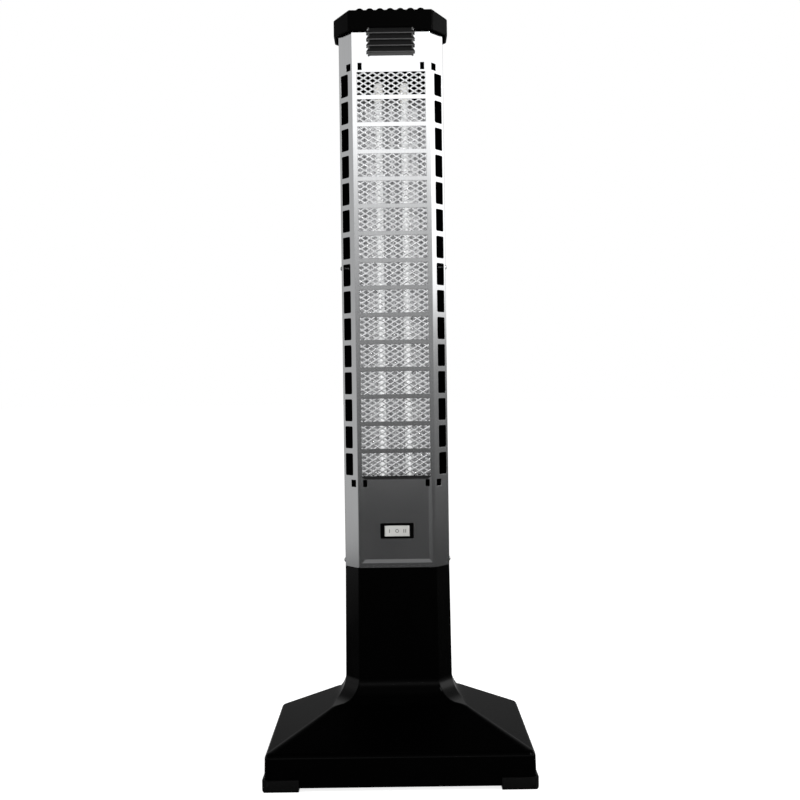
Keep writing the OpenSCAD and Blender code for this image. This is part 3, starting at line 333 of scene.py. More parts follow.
def polished_aluminium():
    """Bright rolled aluminium of the reflector."""
    # Rolled and brightened sheet: bright but soft, with faint lines along the rolling
    material, tree, output = new_material("polished_aluminium_sheet")
    lines = noise(tree, object_place(tree, (1500, 1500, 6)), 1.0)
    surface(tree, output, {
        "Base Color": blend_colours(tree, lines, linear("#ececee"), linear("#fafafb")),
        "Metallic": 0.85,
        "Roughness": spread(tree, lines, 0.2, 0.3, 0.2, 0.8),
        "Normal": raised(tree, lines, 0.06, 0.05),
    })
    return material


def moulded_plastic(name, colour, roughness, grain_mm, depth_mm, specular=0.5):
    """Moulded plastic: one colour, with the fine grain of its mould."""
    # The mould's etched grain breaks up reflections, and handling leaves duller patches
    material, tree, output = new_material(name)
    grain = noise(tree, object_place(tree), 1 / (grain_mm * MM))
    patches = noise(tree, object_place(tree), 14.0, 5.0)
    less, more = [c * 0.85 for c in colour], [min(1.0, c * 1.15) for c in colour]
    surface(tree, output, {
        "Base Color": blend_colours(tree, patches, less, more),
        "Roughness": spread(tree, patches, roughness - 0.04, roughness + 0.05, 0.2, 0.8),
        "Specular IOR Level": specular,
        "Normal": raised(tree, grain, 0.4, depth_mm),
    })
    return material


def fired_ceramic():
    """Unglazed steatite: chalky, warm white, slightly speckled."""
    # Pressed and fired powder keeps pores about half a millimetre wide
    material, tree, output = new_material("fired_steatite")
    speckle = noise(tree, object_place(tree), 1 / (0.55 * MM))
    mix = spread(tree, speckle, 0, 1, 0.3, 0.6)
    surface(tree, output, {
        "Base Color": blend_colours(tree, mix, linear("#eceae4"), linear("#fbfaf6")),
        "Roughness": spread(tree, speckle, 0.62, 0.8),
        "Normal": raised(tree, speckle, 0.2, 0.04),
    })
    return material


def milky_quartz():
    """Translucent fused quartz tube."""
    # Drawn opaque quartz: full of fine bubbles, so it scatters light and looks white, with
    # faint streaks along the drawing
    material, tree, output = new_material("milky_quartz_tube")
    streaks = noise(tree, object_place(tree, (1600, 1600, 30)), 1.0, 3.0)
    surface(tree, output, {
        "Base Color": blend_colours(tree, streaks, linear("#f6f8f8"), linear("#ffffff")),
        "Roughness": spread(tree, streaks, 0.16, 0.3),
        "IOR": 1.46,
        "Transmission Weight": 0.05,
        "Coat Weight": 0.3,
        "Coat Roughness": 0.08,
    })
    return material


def oxidised_wire():
    """Resistance wire with the dark oxide of use."""
    # Iron chromium wire turns brown grey once it has glowed
    material, tree, output = new_material("oxidised_resistance_wire")
    tint = noise(tree, object_place(tree), 120.0, 3.0)
    surface(tree, output, {
        "Base Color": blend_colours(tree, tint, linear("#4d443c"), linear("#8a8078")),
        "Metallic": 0.9,
        "Roughness": spread(tree, tint, 0.4, 0.6),
    })
    return material


def worked_metal(name, bright, dark, roughness):
    """A turned or stamped metal part with fine scratches."""
    # Tools and tumbling leave scratches about a millimetre long
    material, tree, output = new_material(name)
    marks = noise(tree, object_place(tree, (1, 1, 3)), 1 / (1.4 * MM), 3.0)
    surface(tree, output, {
        "Base Color": blend_colours(tree, marks, dark, bright),
        "Metallic": 1.0,
        "Roughness": spread(tree, marks, roughness - 0.06, roughness + 0.08, 0.2, 0.8),
        "Normal": raised(tree, marks, 0.1, 0.04),
    })
    return material


def painted_casting():
    """Iron slab, sand cast and dipped in black paint."""
    # Sand grains about 0.6 mm wide leave a pebbled skin under the paint
    material, tree, output = new_material("painted_iron_casting")
    sand = noise(tree, object_place(tree), 1 / (0.6 * MM), 4.0)
    rust = noise(tree, object_place(tree), 40.0, 6.0)
    mix = spread(tree, rust, 0, 1, 0.6, 0.75)
    surface(tree, output, {
        "Base Color": blend_colours(tree, mix, linear("#141414"), linear("#3a2a20")),
        "Roughness": spread(tree, sand, 0.55, 0.75),
        "Normal": raised(tree, sand, 0.6, 0.2),
    })
    return material


def braided_sleeve():
    """Woven glass sleeve over a lead."""
    # Glass yarn in a braid of about 1.1 mm
    material, tree, output = new_material("braided_glass_sleeve")
    weave = add_node(
        tree,
        "ShaderNodeTexVoronoi",
        {"Vector": object_place(tree), "Scale": 1 / (1.1 * MM), "Randomness": 0.35},
    ).outputs["Distance"]
    surface(tree, output, {
        "Base Color": blend_colours(tree, weave, linear("#e8e4d6"), linear("#b8b2a0")),
        "Roughness": 0.7,
        "Normal": raised(tree, weave, 0.6, 0.2),
    })
    return material


MATERIALS = {}


def finish_of(name):
    """The named finish, made once."""
    if not MATERIALS:
        steel = tuple(settings("heater_shell").steel_colour)
        black = tuple(settings("heater_base").black)
        MATERIALS.update(
            stainless=brushed_stainless(steel),
            mesh=zinc_sheet("zinc_coated_mesh", linear("#f4f5f6"), linear("#e8e9ea"), 0.3, 0.95),
            zinc=zinc_sheet("zinc_coated_sheet", linear("#b4b6b8"), linear("#8f9193"), 0.45),
            # Painted shade: the flat black that inner faces take where the inside lies in shadow
            stove=shade_black_finish("stove_black_paint"),
            polished=polished_aluminium(),
            moulding=moulded_plastic("satin_black_polypropylene", black, 0.18, 0.8, 0.006, 0.035),
            cap=moulded_plastic("matt_black_polyamide", linear("#020202"), 0.5, 0.8, 0.03, 0.02),
            # Lit and shaded copies of the louvre's plastic: painted light on its lips, painted
            # shade on its slopes
            louvre=moulded_plastic("louvre_lips_painted_light", linear("#464646"), 0.4, 0.8, 0.02, 0.2),
            louvre_slope=moulded_plastic(
                "louvre_slopes_painted_shade", linear("#171717"), 0.6, 0.8, 0.03, 0.05
            ),
            rubber=moulded_plastic("moulded_black_rubber", linear("#050505"), 0.6, 0.9, 0.05, 0.1),
            # Painted shade: the white rocker takes a light grey, darker than its own white
            rocker=moulded_plastic("white_abs_in_painted_shade", linear("#a2a29f"), 0.24, 0.8, 0.004),
            print=moulded_plastic("grey_pad_print", linear("#454545"), 0.4, 0.4, 0.004),
            ceramic=fired_ceramic(),
            quartz=milky_quartz(),
            wire=oxidised_wire(),
            brass=worked_metal("stamped_brass", linear("#d9bd72"), linear("#b3924c"), 0.3),
            screw=worked_metal("zinc_plated_screw", linear("#d8d9da"), linear("#b0b2b4"), 0.28),
            iron=painted_casting(),
            sleeve=braided_sleeve(),
        )
    return MATERIALS[name]


def wear(piece, *finishes):
    """Gives a piece its finishes, the first one to all faces that have no other."""
    if piece.data.materials:
        piece.data.materials.clear()
    for finish in finishes:
        piece.data.materials.append(finish_of(finish))


def body_of(node):
    """The CAD body that a node belongs to."""
    return frame["nodes"][node]["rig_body"]


def place_piece(name, shape, finishes, node, replaces=True, sharp=30.0, even=True):
    """Turns a bmesh into a piece that rides with a CAD node and, if asked, replaces it."""
    data = bpy.data.meshes.new(name)
    shape.to_mesh(data)
    shape.free()
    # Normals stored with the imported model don't fit its reshaped copy
    stored = data.attributes.get("custom_normal")
    if stored:
        data.attributes.remove(stored)
    data.shade_smooth()
    piece = bpy.data.objects.new(name, data)
    bpy.context.scene.collection.objects.link(piece)
    data.set_sharp_from_angle(angle=math.radians(sharp))
    if even:
        faces = piece.modifiers.new("even_faces", "WEIGHTED_NORMAL")
        faces.keep_sharp = True
        faces.weight = 80
    wear(piece, *finishes)
    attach(piece, body_of(node))
    if replaces:
        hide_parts(node)
    return piece


def merged_copy(node):
    """A node's mesh as a bmesh with its triangles joined and its flat faces made whole."""
    shape = bmesh.new()
    shape.from_mesh(frame["nodes"][node].data)
    bmesh.ops.remove_doubles(shape, verts=shape.verts, dist=0.002 * MM)
    bmesh.ops.dissolve_limit(
        shape, angle_limit=math.radians(0.4), verts=shape.verts, edges=shape.edges
    )
    return shape


def cut(shape, point, normal, clear=False):
    """Cuts a whole mesh along a plane and, if asked, drops what lies beyond it."""
    bmesh.ops.bisect_plane(
        shape,
        geom=[*shape.verts, *shape.edges, *shape.faces],
        plane_co=point,
        plane_no=normal,
        clear_outer=clear,
    )


def bevel(shape, parts, width, segments, affect="EDGES"):
    """Rounds edges or corners."""
    bmesh.ops.bevel(
        shape,
        geom=parts,
        offset=width,
        offset_type="OFFSET",
        affect=affect,
        segments=segments,
        profile=0.5,
        material=-1,
        clamp_overlap=False,
    )


def folded_edges(shape, low, high=180.0, test=None):
    """Edges whose faces meet at an angle between low and high, in degrees."""
    return [
        edge
        for edge in shape.edges
        if len(edge.link_faces) == 2
        and math.radians(low) < edge.calc_face_angle(0.0) <= math.radians(high)
        and (test is None or test(edge))
    ]


def softened(node, finish, width, segments=2, low=24.0):
    """A node's copy with its edges rounded, in its place."""
    shape = merged_copy(node)
    bevel(shape, folded_edges(shape, low), width, segments)
    return place_piece(f"{node}_piece", shape, [finish], node)


def is_upright(edge):
    """True for an edge along Z."""
    return abs((edge.verts[0].co - edge.verts[1].co).normalized().z) > 0.999


def is_column_fold(edge):
    """True for an upright fold between two sides of the column."""
    return is_upright(edge) and abs(edge.verts[0].co.x) > FRONT_HALF - 2 * MM


class HEATER_OT_shells(bpy.types.Operator):
    """Front and rear shell: rounded folds and punched edges, with painted shade: inner faces black
    """

    bl_idname = "heater.shells"
    bl_label = "Steel shells"

    def execute(self, context):
        sizes = settings("heater_shell")
        for node in ("front_shell", "rear_shell"):
            shape = merged_copy(node)
            # Painted shade: faces turned inwards take the black finish, which stands in for the
            # shadow inside the column
            for face in shape.faces:
                middle = face.calc_center_median()
                facing = face.normal.x * middle.x + face.normal.y * middle.y
                face.material_index = 1 if facing < -10 * MM else 0
            folds = folded_edges(shape, 20, 75, is_column_fold)
            bevel(shape, folds, sizes.fold_radius, 6)
            bevel(shape, folded_edges(shape, 60), sizes.cut_edge, 2)
            place_piece(f"{node}_piece", shape, ["stainless", "stove"], node, sharp=18)
        return {"FINISHED"}


class HEATER_OT_mesh_guard(bpy.types.Operator):
    """Expanded metal guard with real diamonds"""

    bl_idname = "heater.mesh_guard"
    bl_label = "Mesh guard"

    def execute(self, context):
        sizes = settings("heater_mesh")
        low, high = MESH_LOW, MESH_HIGH
        middle = (low + high) / 2
        reach = (high - low) / 2
        count = 2 * math.ceil(reach.x / sizes.long_way + reach.z / sizes.short_way + 1)
        shape = bmesh.new()
        bmesh.ops.create_grid(shape, x_segments=count, y_segments=count, size=count / 2)
        # A square grid turned by 45 degrees and stretched is a net of diamonds
        net = Matrix(
            (
                (sizes.long_way / 2, -sizes.long_way / 2, 0, middle.x),
                (0, 0, 1, low.y),
                (sizes.short_way / 2, sizes.short_way / 2, 0, middle.z),
                (0, 0, 0, 1),
            )
        )
        bmesh.ops.transform(shape, matrix=net, verts=shape.verts)
        outside = [
            face
            for face in shape.faces
            if abs(face.calc_center_median().x - middle.x) > reach.x + sizes.long_way / 2
            or abs(face.calc_center_median().z - middle.z) > reach.z + sizes.short_way / 2
        ]
        bmesh.ops.delete(shape, geom=outside, context="FACES")
        bmesh.ops.inset_individual(
            shape, faces=shape.faces[:], thickness=sizes.strand / 2, use_even_offset=True
        )
        hole = 0.3 * sizes.long_way * sizes.short_way / 2
        tips = [
            vert
            for face in shape.faces
            if face.calc_area() > hole
            for vert in face.verts
            if abs(vert.co.z - face.calc_center_median().z) < 0.1 * sizes.short_way
        ]
        bevel(shape, tips, sizes.tip, 2, "VERTICES")
        holes = [face for face in shape.faces if face.calc_area() > 0.8 * hole]
        bmesh.ops.delete(shape, geom=holes, context="FACES")
        rims = [vert for vert in shape.verts if vert.is_boundary]
        bmesh.ops.translate(shape, vec=(0, sizes.relief, 0), verts=rims)
        for point, normal in (
            ((low.x, 0, 0), (-1, 0, 0)),
            ((high.x, 0, 0), (1, 0, 0)),
            ((0, 0, low.z), (0, 0, -1)),
            ((0, 0, high.z), (0, 0, 1)),
        ):
            cut(shape, point, normal, True)
        bmesh.ops.recalc_face_normals(shape, faces=shape.faces)
        if sum(face.normal.y for face in shape.faces) > 0:
            bmesh.ops.reverse_faces(shape, faces=shape.faces)
        bmesh.ops.solidify(
            shape, geom=shape.faces[:], thickness=high.y - low.y - sizes.relief
        )
        place_piece("mesh_guard_piece", shape, ["mesh"], "mesh_guard", sharp=40, even=False)
        return {"FINISHED"}


def tangent_arc(before, corner, after, run, steps):
    """Points of an arc that rounds a corner of a path, run along each of its sides."""
    one = (before - corner).normalized()
    other = (after - corner).normalized()
    half = one.angle(other) / 2
    centre = corner + (one + other).normalized() * run / math.cos(half)
    start = corner + one * run - centre
    turn = math.pi - 2 * half
    if one.x * other.y - one.y * other.x > 0:
        turn = -turn
    points = []
    for i in range(steps + 1):
        c, s = math.cos(turn * i / steps), math.sin(turn * i / steps)
        points.append(centre + Vector((start.x * c - start.y * s, start.x * s + start.y * c)))
    return points


def out_at(path, height):
    """How far out a rising path of (out, up) points lies at a height."""
    for low, high in zip(path, path[1:]):
        if low.y <= height <= high.y and high.y > low.y:
            return low.x + (high.x - low.x) * (height - low.y) / (high.y - low.y)
    return path[0].x if height < path[0].y else path[-1].x


def corner_out():
    """Direction of a corner face of the column, and its distance from the middle."""
    front_fold = Vector((FRONT_HALF, -SHELL_LOW.y))
    side_fold = Vector((SHELL_HIGH.x, SIDE_HALF))
    run = side_fold - front_fold
    out = Vector((-run.y, run.x)).normalized()
    return out, out.dot(front_fold)


def rounded_octagon(side, front, corner, radius, steps):
    """Points, anticlockwise, of the column's section with each face at its own distance."""
    out, _ = corner_out()
    slant = math.atan2(out.y, out.x)
    s, f, c = side - radius, front - radius, corner - radius
    low, high = Vector((s, f)), Vector((s, f))
    if out.dot(low) > c:
        low = Vector((s, (c - out.x * s) / out.y))
        high = Vector(((c - out.y * f) / out.x, f))
    ways = [(low, slant * k / steps) for k in range(steps + 1)]
    ways += [(high, slant + (math.pi / 2 - slant) * k / steps) for k in range(steps + 1)]
    points = [tip + radius * Vector((math.cos(way), math.sin(way))) for tip, way in ways]
    back = [Vector((-p.x, p.y)) for p in reversed(points)]
    return points + back + [-p for p in points] + [Vector((p.x, -p.y)) for p in reversed(points)]


def stack_rings(shape, rings):
    """Joins equal rings, each a list of (x, y) points with its height, to one closed skin."""
    verts = bmesh.ops.create_circle(shape, segments=len(rings[0][0]), radius=1.0)["verts"]
    edges = shape.edges[:]
    first = edges
    for number, (points, height) in enumerate(rings):
        if number:
            grown = bmesh.ops.extrude_edge_only(shape, edges=edges)["geom"]
            fresh = {g for g in grown if isinstance(g, bmesh.types.BMVert)}
            edges = [
                g
                for g in grown
                if isinstance(g, bmesh.types.BMEdge) and set(g.verts) <= fresh
            ]
            verts = [
                next(e.other_vert(v) for e in v.link_edges if e.other_vert(v) in fresh)
                for v in verts
            ]
        for vert, point in zip(verts, points):
            vert.co = (point.x, point.y, height)
    bmesh.ops.bridge_loops(shape, edges=first + edges)
    bmesh.ops.remove_doubles(shape, verts=shape.verts, dist=0.01 * MM)
    bmesh.ops.recalc_face_normals(shape, faces=shape.faces)


def is_neck_back(face, height):
    """True for a face of the neck's back wall, outside or inside, at a height."""
    return (
        abs(face.normal.y) > 0.99
        and face.calc_center_median().y > 40 * MM
        and min(v.co.z for v in face.verts) < height < max(v.co.z for v in face.verts)
    )


class HEATER_OT_base(bpy.types.Operator):
    """Neck and base in one moulding with rounded hips, hollow from below"""

    bl_idname = "heater.base"
    bl_label = "Base moulding"

    def execute(self, context):
        shape = bmesh.new()
        stack_rings(shape, self.rings())
        self.add_bosses(shape)
        self.add_inlet(shape)
        place_piece("base_moulding_piece", shape, ["moulding"], "base_moulding")
        return {"FINISHED"}

    def path(self, top, foot):
        """Outline of one side: skirt, roof and neck."""
        sizes = settings("heater_base")
        skirt = Vector((foot, BASE_LOW.z))
        edge = Vector((foot - sizes.flare, sizes.roof_edge))
        apex = Vector((top + sizes.draft, sizes.apex))
        neck = Vector((top, SHELL_LOW.z))
        roof = tangent_arc(skirt, edge, apex, sizes.edge_round, 5)
        hollow = tangent_arc(edge, apex, neck, sizes.blend, 12)
        return [skirt, *roof, *hollow, neck]

    def corner_path(self, top):
        """Outline of a corner face, which runs out in the roof."""
        sizes = settings("heater_base")
        run, fall = 0.3, math.radians(12)
        low = Vector((top + run, sizes.apex - run * math.tan(fall)))
        apex = Vector((top + sizes.draft, sizes.apex))
        neck = Vector((top, SHELL_LOW.z))
        return [low, *tangent_arc(low, apex, neck, sizes.blend, 12), neck]

    def rings(self):
        """Rings from the skirt up to the spigot and back down inside."""
        sizes = settings("heater_base")
        gap = 0.1 * MM
        _, corner = corner_out()
        side = self.path(SHELL_HIGH.x - gap, BASE_HIGH.x)
        front = self.path(-SHELL_LOW.y - gap, BASE_HIGH.y)
        slant = self.corner_path(corner - gap)
        slope = [side[6].lerp(side[7], k / 4) for k in (1, 2, 3)]
        outer = [*side[:7], *slope, *side[7:]]
        top = sizes.apex + sizes.blend
        rows = []
        for number, point in enumerate(outer):
            before, after = outer[max(number - 1, 0)], outer[min(number + 1, len(outer) - 1)]
            along = (after - before).normalized()
            z = point.y
            share = min(max((z - sizes.roof_edge) / (top - sizes.roof_edge), 0), 1)
            radius = sizes.skirt_round + (sizes.neck_round - sizes.skirt_round) * share
            reach = (point.x, out_at(front, z), out_at(slant, z))
            rows.append((reach, radius, z, Vector((along.y, -along.x))))
        steps = sizes.corner_steps
        rings = [(rounded_octagon(*reach, radius, steps), z) for reach, radius, z, _ in rows]
        # The spigot that the column slips over: millimetres inwards and above the neck's top
        reach, radius, z, _ = rows[-1]
        for inset, height in ((3.4, 0), (3.4, 28), (6.4, 28), (6.4, -8)):
            near = [r - inset * MM for r in reach]
            rings.append((rounded_octagon(*near, 1.5 * MM, steps), z + height * MM))
        for reach, radius, z, normal in reversed(rows[:-1]):
            near = [r - sizes.wall * normal.x for r in reach]
            tight = max(radius - sizes.wall * normal.x, 0.8 * MM)
            height = max(z - sizes.wall * normal.y, BASE_LOW.z)
            rings.append((rounded_octagon(*near, tight, steps), height))
        return rings

    def add_bosses(self, shape):
        """Four screw bosses over the base plate."""
        out, radius, height = 138 * MM, 6 * MM, 46 * MM
        for x, y in ((out, 0), (-out, 0), (0, out), (0, -out)):
            place = Matrix.Translation((x, y, PLATE_HIGH.z + height / 2))
            bmesh.ops.create_cone(
                shape, cap_ends=True, segments=24, radius1=radius, radius2=radius,
                depth=height, matrix=place,
            )

    def add_inlet(self, shape):
        """The pad behind the neck that the cord's gland sits on, and the hole through it."""
        middle = (GLAND_LOW + GLAND_HIGH) / 2
        hole, pad = 8.05 * MM, 14 * MM
        for point, normal in (
            ((-hole, 0, 0), (1, 0, 0)),
            ((hole, 0, 0), (1, 0, 0)),
            ((0, 0, middle.z - hole), (0, 0, 1)),
            ((0, 0, middle.z + hole), (0, 0, 1)),
        ):
            cut(shape, point, normal)
        shape.normal_update()
        square = [
            face
            for face in shape.faces
            if is_neck_back(face, middle.z)
            and abs(face.calc_center_median().x) < hole
            and abs(face.calc_center_median().z - middle.z) < hole
        ]
        reach = max(vert.co.y for face in square for vert in face.verts)
        bmesh.ops.delete(shape, geom=square, context="FACES")
        rims = [edge for edge in shape.edges if edge.is_boundary]
        bmesh.ops.bridge_loops(shape, edges=rims)
        ring = bmesh.ops.create_circle(
            shape, segments=48, radius=pad,
            matrix=Matrix.Translation((0, reach + 2 * MM, middle.z))
            @ Matrix.Rotation(math.pi / 2, 4, "X"),
        )
        outer = list({edge for vert in ring["verts"] for edge in vert.link_edges})
        for radius, y in ((hole, reach + 2 * MM), (hole, reach - 1 * MM), (pad, reach - 1 * MM)):
            grown = bmesh.ops.extrude_edge_only(shape, edges=outer)["geom"]
            outer = [part for part in grown if isinstance(part, bmesh.types.BMEdge)]
            fresh = {part for part in grown if isinstance(part, bmesh.types.BMVert)}
            outer = [edge for edge in outer if set(edge.verts) <= fresh]
            for vert in fresh:
                way = Vector((vert.co.x, 0, vert.co.z - middle.z)).normalized() * radius
                vert.co = (way.x, y, middle.z + way.z)
        bmesh.ops.recalc_face_normals(shape, faces=shape.faces)


class HEATER_OT_lamps(bpy.types.Operator):
    """Quartz tubes with a wound wire in each"""

    bl_idname = "heater.lamps"
    bl_label = "Lamps"

    def execute(self, context):
        sizes = settings("heater_lamps")
        for side, sign in (("right", 1), ("left", -1)):
            middle = (TUBE_LOW + TUBE_HIGH) / 2
            middle.x *= sign
            radius = (TUBE_HIGH.x - TUBE_LOW.x) / 2
            shape = bmesh.new()
            bmesh.ops.create_cone(
                shape, cap_ends=False, segments=48, radius1=radius, radius2=radius,
                depth=TUBE_HIGH.z - TUBE_LOW.z, matrix=Matrix.Translation(middle),
            )
            bmesh.ops.recalc_face_normals(shape, faces=shape.faces)
            bmesh.ops.solidify(shape, geom=shape.faces[:], thickness=sizes.tube_wall)
            node = f"quartz_tube_{side}"
            place_piece(f"{node}_piece", shape, ["quartz"], node, even=False)
            self.wind(side, middle)
        return {"FINISHED"}

    def wind(self, side, middle):
        """Winds one wire round the lamp's axis."""
        sizes = settings("heater_lamps")
        steps = 12
        radius = (COIL_HIGH.x - COIL_LOW.x - sizes.wire) / 2
        pitch = (COIL_HIGH.z - COIL_LOW.z - sizes.wire) / 2**sizes.doublings
        start = (middle.x + radius, middle.y, COIL_LOW.z + sizes.wire / 2)
        shape = bmesh.new()
        bmesh.ops.create_circle(
            shape, segments=5, radius=sizes.wire / 2,
            matrix=Matrix.Translation(start) @ Matrix.Rotation(math.pi / 2, 4, "X"),
        )
        bmesh.ops.spin(
            shape,
            geom=[*shape.verts, *shape.edges],
            cent=(middle.x, middle.y, COIL_LOW.z),
            axis=(0, 0, 1),
            dvec=(0, 0, pitch / steps),
            angle=2 * math.pi,
            steps=steps,
            use_duplicate=False,
        )
        for doubling in range(sizes.doublings):
            copy = bmesh.ops.duplicate(shape, geom=[*shape.verts, *shape.edges, *shape.faces])
            moved = [g for g in copy["geom"] if isinstance(g, bmesh.types.BMVert)]
            bmesh.ops.translate(shape, vec=(0, 0, pitch * 2**doubling), verts=moved)
        bmesh.ops.remove_doubles(shape, verts=shape.verts, dist=0.01 * MM)
        bmesh.ops.recalc_face_normals(shape, faces=shape.faces)
        node = f"heating_coil_{side}"
        place_piece(f"{node}_piece", shape, ["wire"], node, sharp=180, even=False)


class HEATER_OT_cap(bpy.types.Operator):
    """Ribbed cap with rounded folds, and the rain louvre under it"""

    bl_idname = "heater.cap"
    bl_label = "Cap and louvre"

    def execute(self, context):
        shape = merged_copy("top_cap")
        bevel(shape, folded_edges(shape, 20, 75, is_upright), 3 * MM, 4)
        bevel(shape, folded_edges(shape, 24), 0.7 * MM, 3)
        place_piece("top_cap_piece", shape, ["cap"], "top_cap")
        self.louvre()
        return {"FINISHED"}

    def louvre(self):
        """The louvre, its slopes darker than its lips: painted shade on the slopes, painted light
        on the lips.
        """
        shape = merged_copy("vent_louvre")
        # Painted shade: faces turning upwards take the darker copy, the lips the lighter one
        for face in shape.faces:
            face.material_index = 1 if face.normal.z > 0.25 else 0
        bevel(shape, folded_edges(shape, 24), 0.25 * MM, 2)
        place_piece("vent_louvre_piece", shape, ["louvre", "louvre_slope"], "vent_louvre")


class HEATER_OT_switch(bpy.types.Operator):
    """Bezel, white rocker and the printed marks of its three positions"""

    bl_idname = "heater.switch"
    bl_label = "Switch"

    def execute(self, context):
        softened("switch_bezel", "cap", 0.4 * MM)
        self.rocker()
        across, apart, slope = 9.7 * MM, 1.2 * MM, math.radians(5.6)
        stroke = Matrix.Diagonal((0.9 * MM, 0.1 * MM, 4.4 * MM, 1))
        for name, places in (("one", (-across,)), ("two", (across - apart, across + apart))):
            shape = bmesh.new()
            for x in places:
                lean = Matrix.Rotation(math.copysign(slope, x), 4, "Z")
                bmesh.ops.create_cube(
                    shape, size=1.0, matrix=self.on_rocker(x) @ lean @ stroke
                )
            place_piece(f"mark_{name}_piece", shape, ["print"], "rocker", replaces=False)
        self.ring_mark()
        return {"FINISHED"}

    def on_rocker(self, x):
        """Place on the rocker's front, which rises from its middle to both ends."""
        front, flat, slope = -56.0 * MM, 2 * MM, 0.098
        rise = slope * max(abs(x) - flat, 0)
        return Matrix.Translation((x, front - rise, (ROCKER_LOW.z + ROCKER_HIGH.z) / 2))

    def rocker(self):
        """The rocker with its ends drawn in."""
        shape = merged_copy("rocker")
        ends = folded_edges(
            shape, 40, test=lambda e: is_upright(e) and abs(e.verts[0].co.x) > 14 * MM
        )
        bevel(shape, ends, 1.3 * MM, 4)
        bevel(shape, folded_edges(shape, 40), 0.45 * MM, 3)
        place_piece("rocker_piece", shape, ["rocker"], "rocker")

    def ring_mark(self):
        """The ring in the middle of the rocker, its off position."""
        shape = bmesh.new()
        bmesh.ops.create_circle(
            shape, cap_ends=True, segments=32, radius=2.3 * MM,
            matrix=self.on_rocker(0) @ Matrix.Rotation(math.pi / 2, 4, "X"),
        )
        bmesh.ops.inset_individual(shape, faces=shape.faces[:], thickness=0.8 * MM)
        middle = [face for face in shape.faces if len(face.verts) > 4]
        bmesh.ops.delete(shape, geom=middle, context="FACES")
        bmesh.ops.solidify(shape, geom=shape.faces[:], thickness=0.05 * MM)
        bmesh.ops.recalc_face_normals(shape, faces=shape.faces)
        place_piece("mark_ring_piece", shape, ["print"], "rocker", replaces=False)


class HEATER_OT_feet(bpy.types.Operator):
    """Rubber feet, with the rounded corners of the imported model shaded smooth"""

    bl_idname = "heater.feet"
    bl_label = "Feet"

    def execute(self, context):
        for corner in ("front_left", "front_right", "back_left", "back_right"):
            node = f"foot_{corner}"
            place_piece(f"{node}_piece", merged_copy(node), ["rubber"], node, sharp=50)
        return {"FINISHED"}


# Finishes of the pieces that keep their CAD shape, each with its nodes
INNER_FINISHES = {
    "ceramic": "ceramic_cap_top_left ceramic_cap_top_right ceramic_cap_bottom_left "
    "ceramic_cap_bottom_right terminal_block",
    "brass": "thermal_cutout switch_terminals terminal_screws tip_pendulum",
    # The black top plate is painted shade
    "stove": "top_plate",
    "screw": "cap_screws side_screws base_screws ballast_screws tip_pin tip_screws",
    "cap": "switch_body gland_body gland_nut gland_dome tip_microswitch",
    "sleeve": "inner_wiring",
    "zinc": "base_plate tip_bracket",
    "iron": "ballast",
}


class HEATER_OT_inside(bpy.types.Operator):
    """Reflector, brackets and the other pieces that keep their CAD shape"""

    bl_idname = "heater.inside"
    bl_label = "Inner pieces"

    def execute(self, context):
        self.reflector()
        # Painted shade: brackets and heat shield take the black finish, which stands in for the
        # shadow inside the column
        for node in ("lamp_bracket_top", "lamp_bracket_bottom", "heat_shield"):
            softened(node, "stove", 0.3 * MM)
        for finish, nodes in INNER_FINISHES.items():
            for node in nodes.split():
                wear(frame["nodes"][node], finish)
        return {"FINISHED"}

    def reflector(self):
        """Bright towards the lamps; painted shade, black, on its back and below the windows, where
        the inside lies in shadow.
        """
        shape = merged_copy("reflector")
        foot = MESH_LOW.z
        cut(shape, (0, 0, foot), (0, 0, 1))
        shape.normal_update()
        # Painted shade: faces turned away from the windows, and faces below them, take the black
        # finish
        for face in shape.faces:
            bright = face.normal.y < -0.05 and face.calc_center_median().z > foot
            face.material_index = 0 if bright else 1
        place_piece("reflector_piece", shape, ["polished", "stove"], "reflector")


def area_lamp(name, place, target, size, power, glossy=False):
    """A soft rectangular lamp that points at a target."""
    data = bpy.data.lights.new(name, "AREA")
    data.shape = "RECTANGLE"
    data.size, data.size_y = size
    data.energy = power
    lamp = bpy.data.objects.new(name, data)
    bpy.context.scene.collection.objects.link(lamp)
    lamp.location = place
    lamp.rotation_euler = (Vector(target) - Vector(place)).to_track_quat("-Z", "Y").to_euler()
    lamp.visible_glossy = glossy
    return lamp


def stage_object(name, shape, material):
    """An object of the stage from a bmesh."""
    mesh = bpy.data.meshes.new(name)
    shape.to_mesh(mesh)
    shape.free()
    mesh.materials.append(material)
    thing = bpy.data.objects.new(name, mesh)
    bpy.context.scene.collection.objects.link(thing)
    return thing


def degree_ramp(tree, rise, stops, ceiling):
    """Brightness by elevation: (degrees, brightness) pairs, the two ends first."""
    place = add_node(
        tree, "ShaderNodeMapRange", {"Value": rise, "From Min": -90.0, "From Max": 90.0}
    ).outputs["Result"]
    node = add_node(tree, "ShaderNodeValToRGB", {"Fac": place})
    ramp = node.color_ramp
    ramp.interpolation = "B_SPLINE"
    for number, (degrees, grey) in enumerate(stops):
        at = (degrees + 90) / 180
        stop = ramp.elements[number] if number < 2 else ramp.elements.new(at)
        level = grey / ceiling
        stop.color = (level, level, level, 1)
    return node.outputs["Color"]


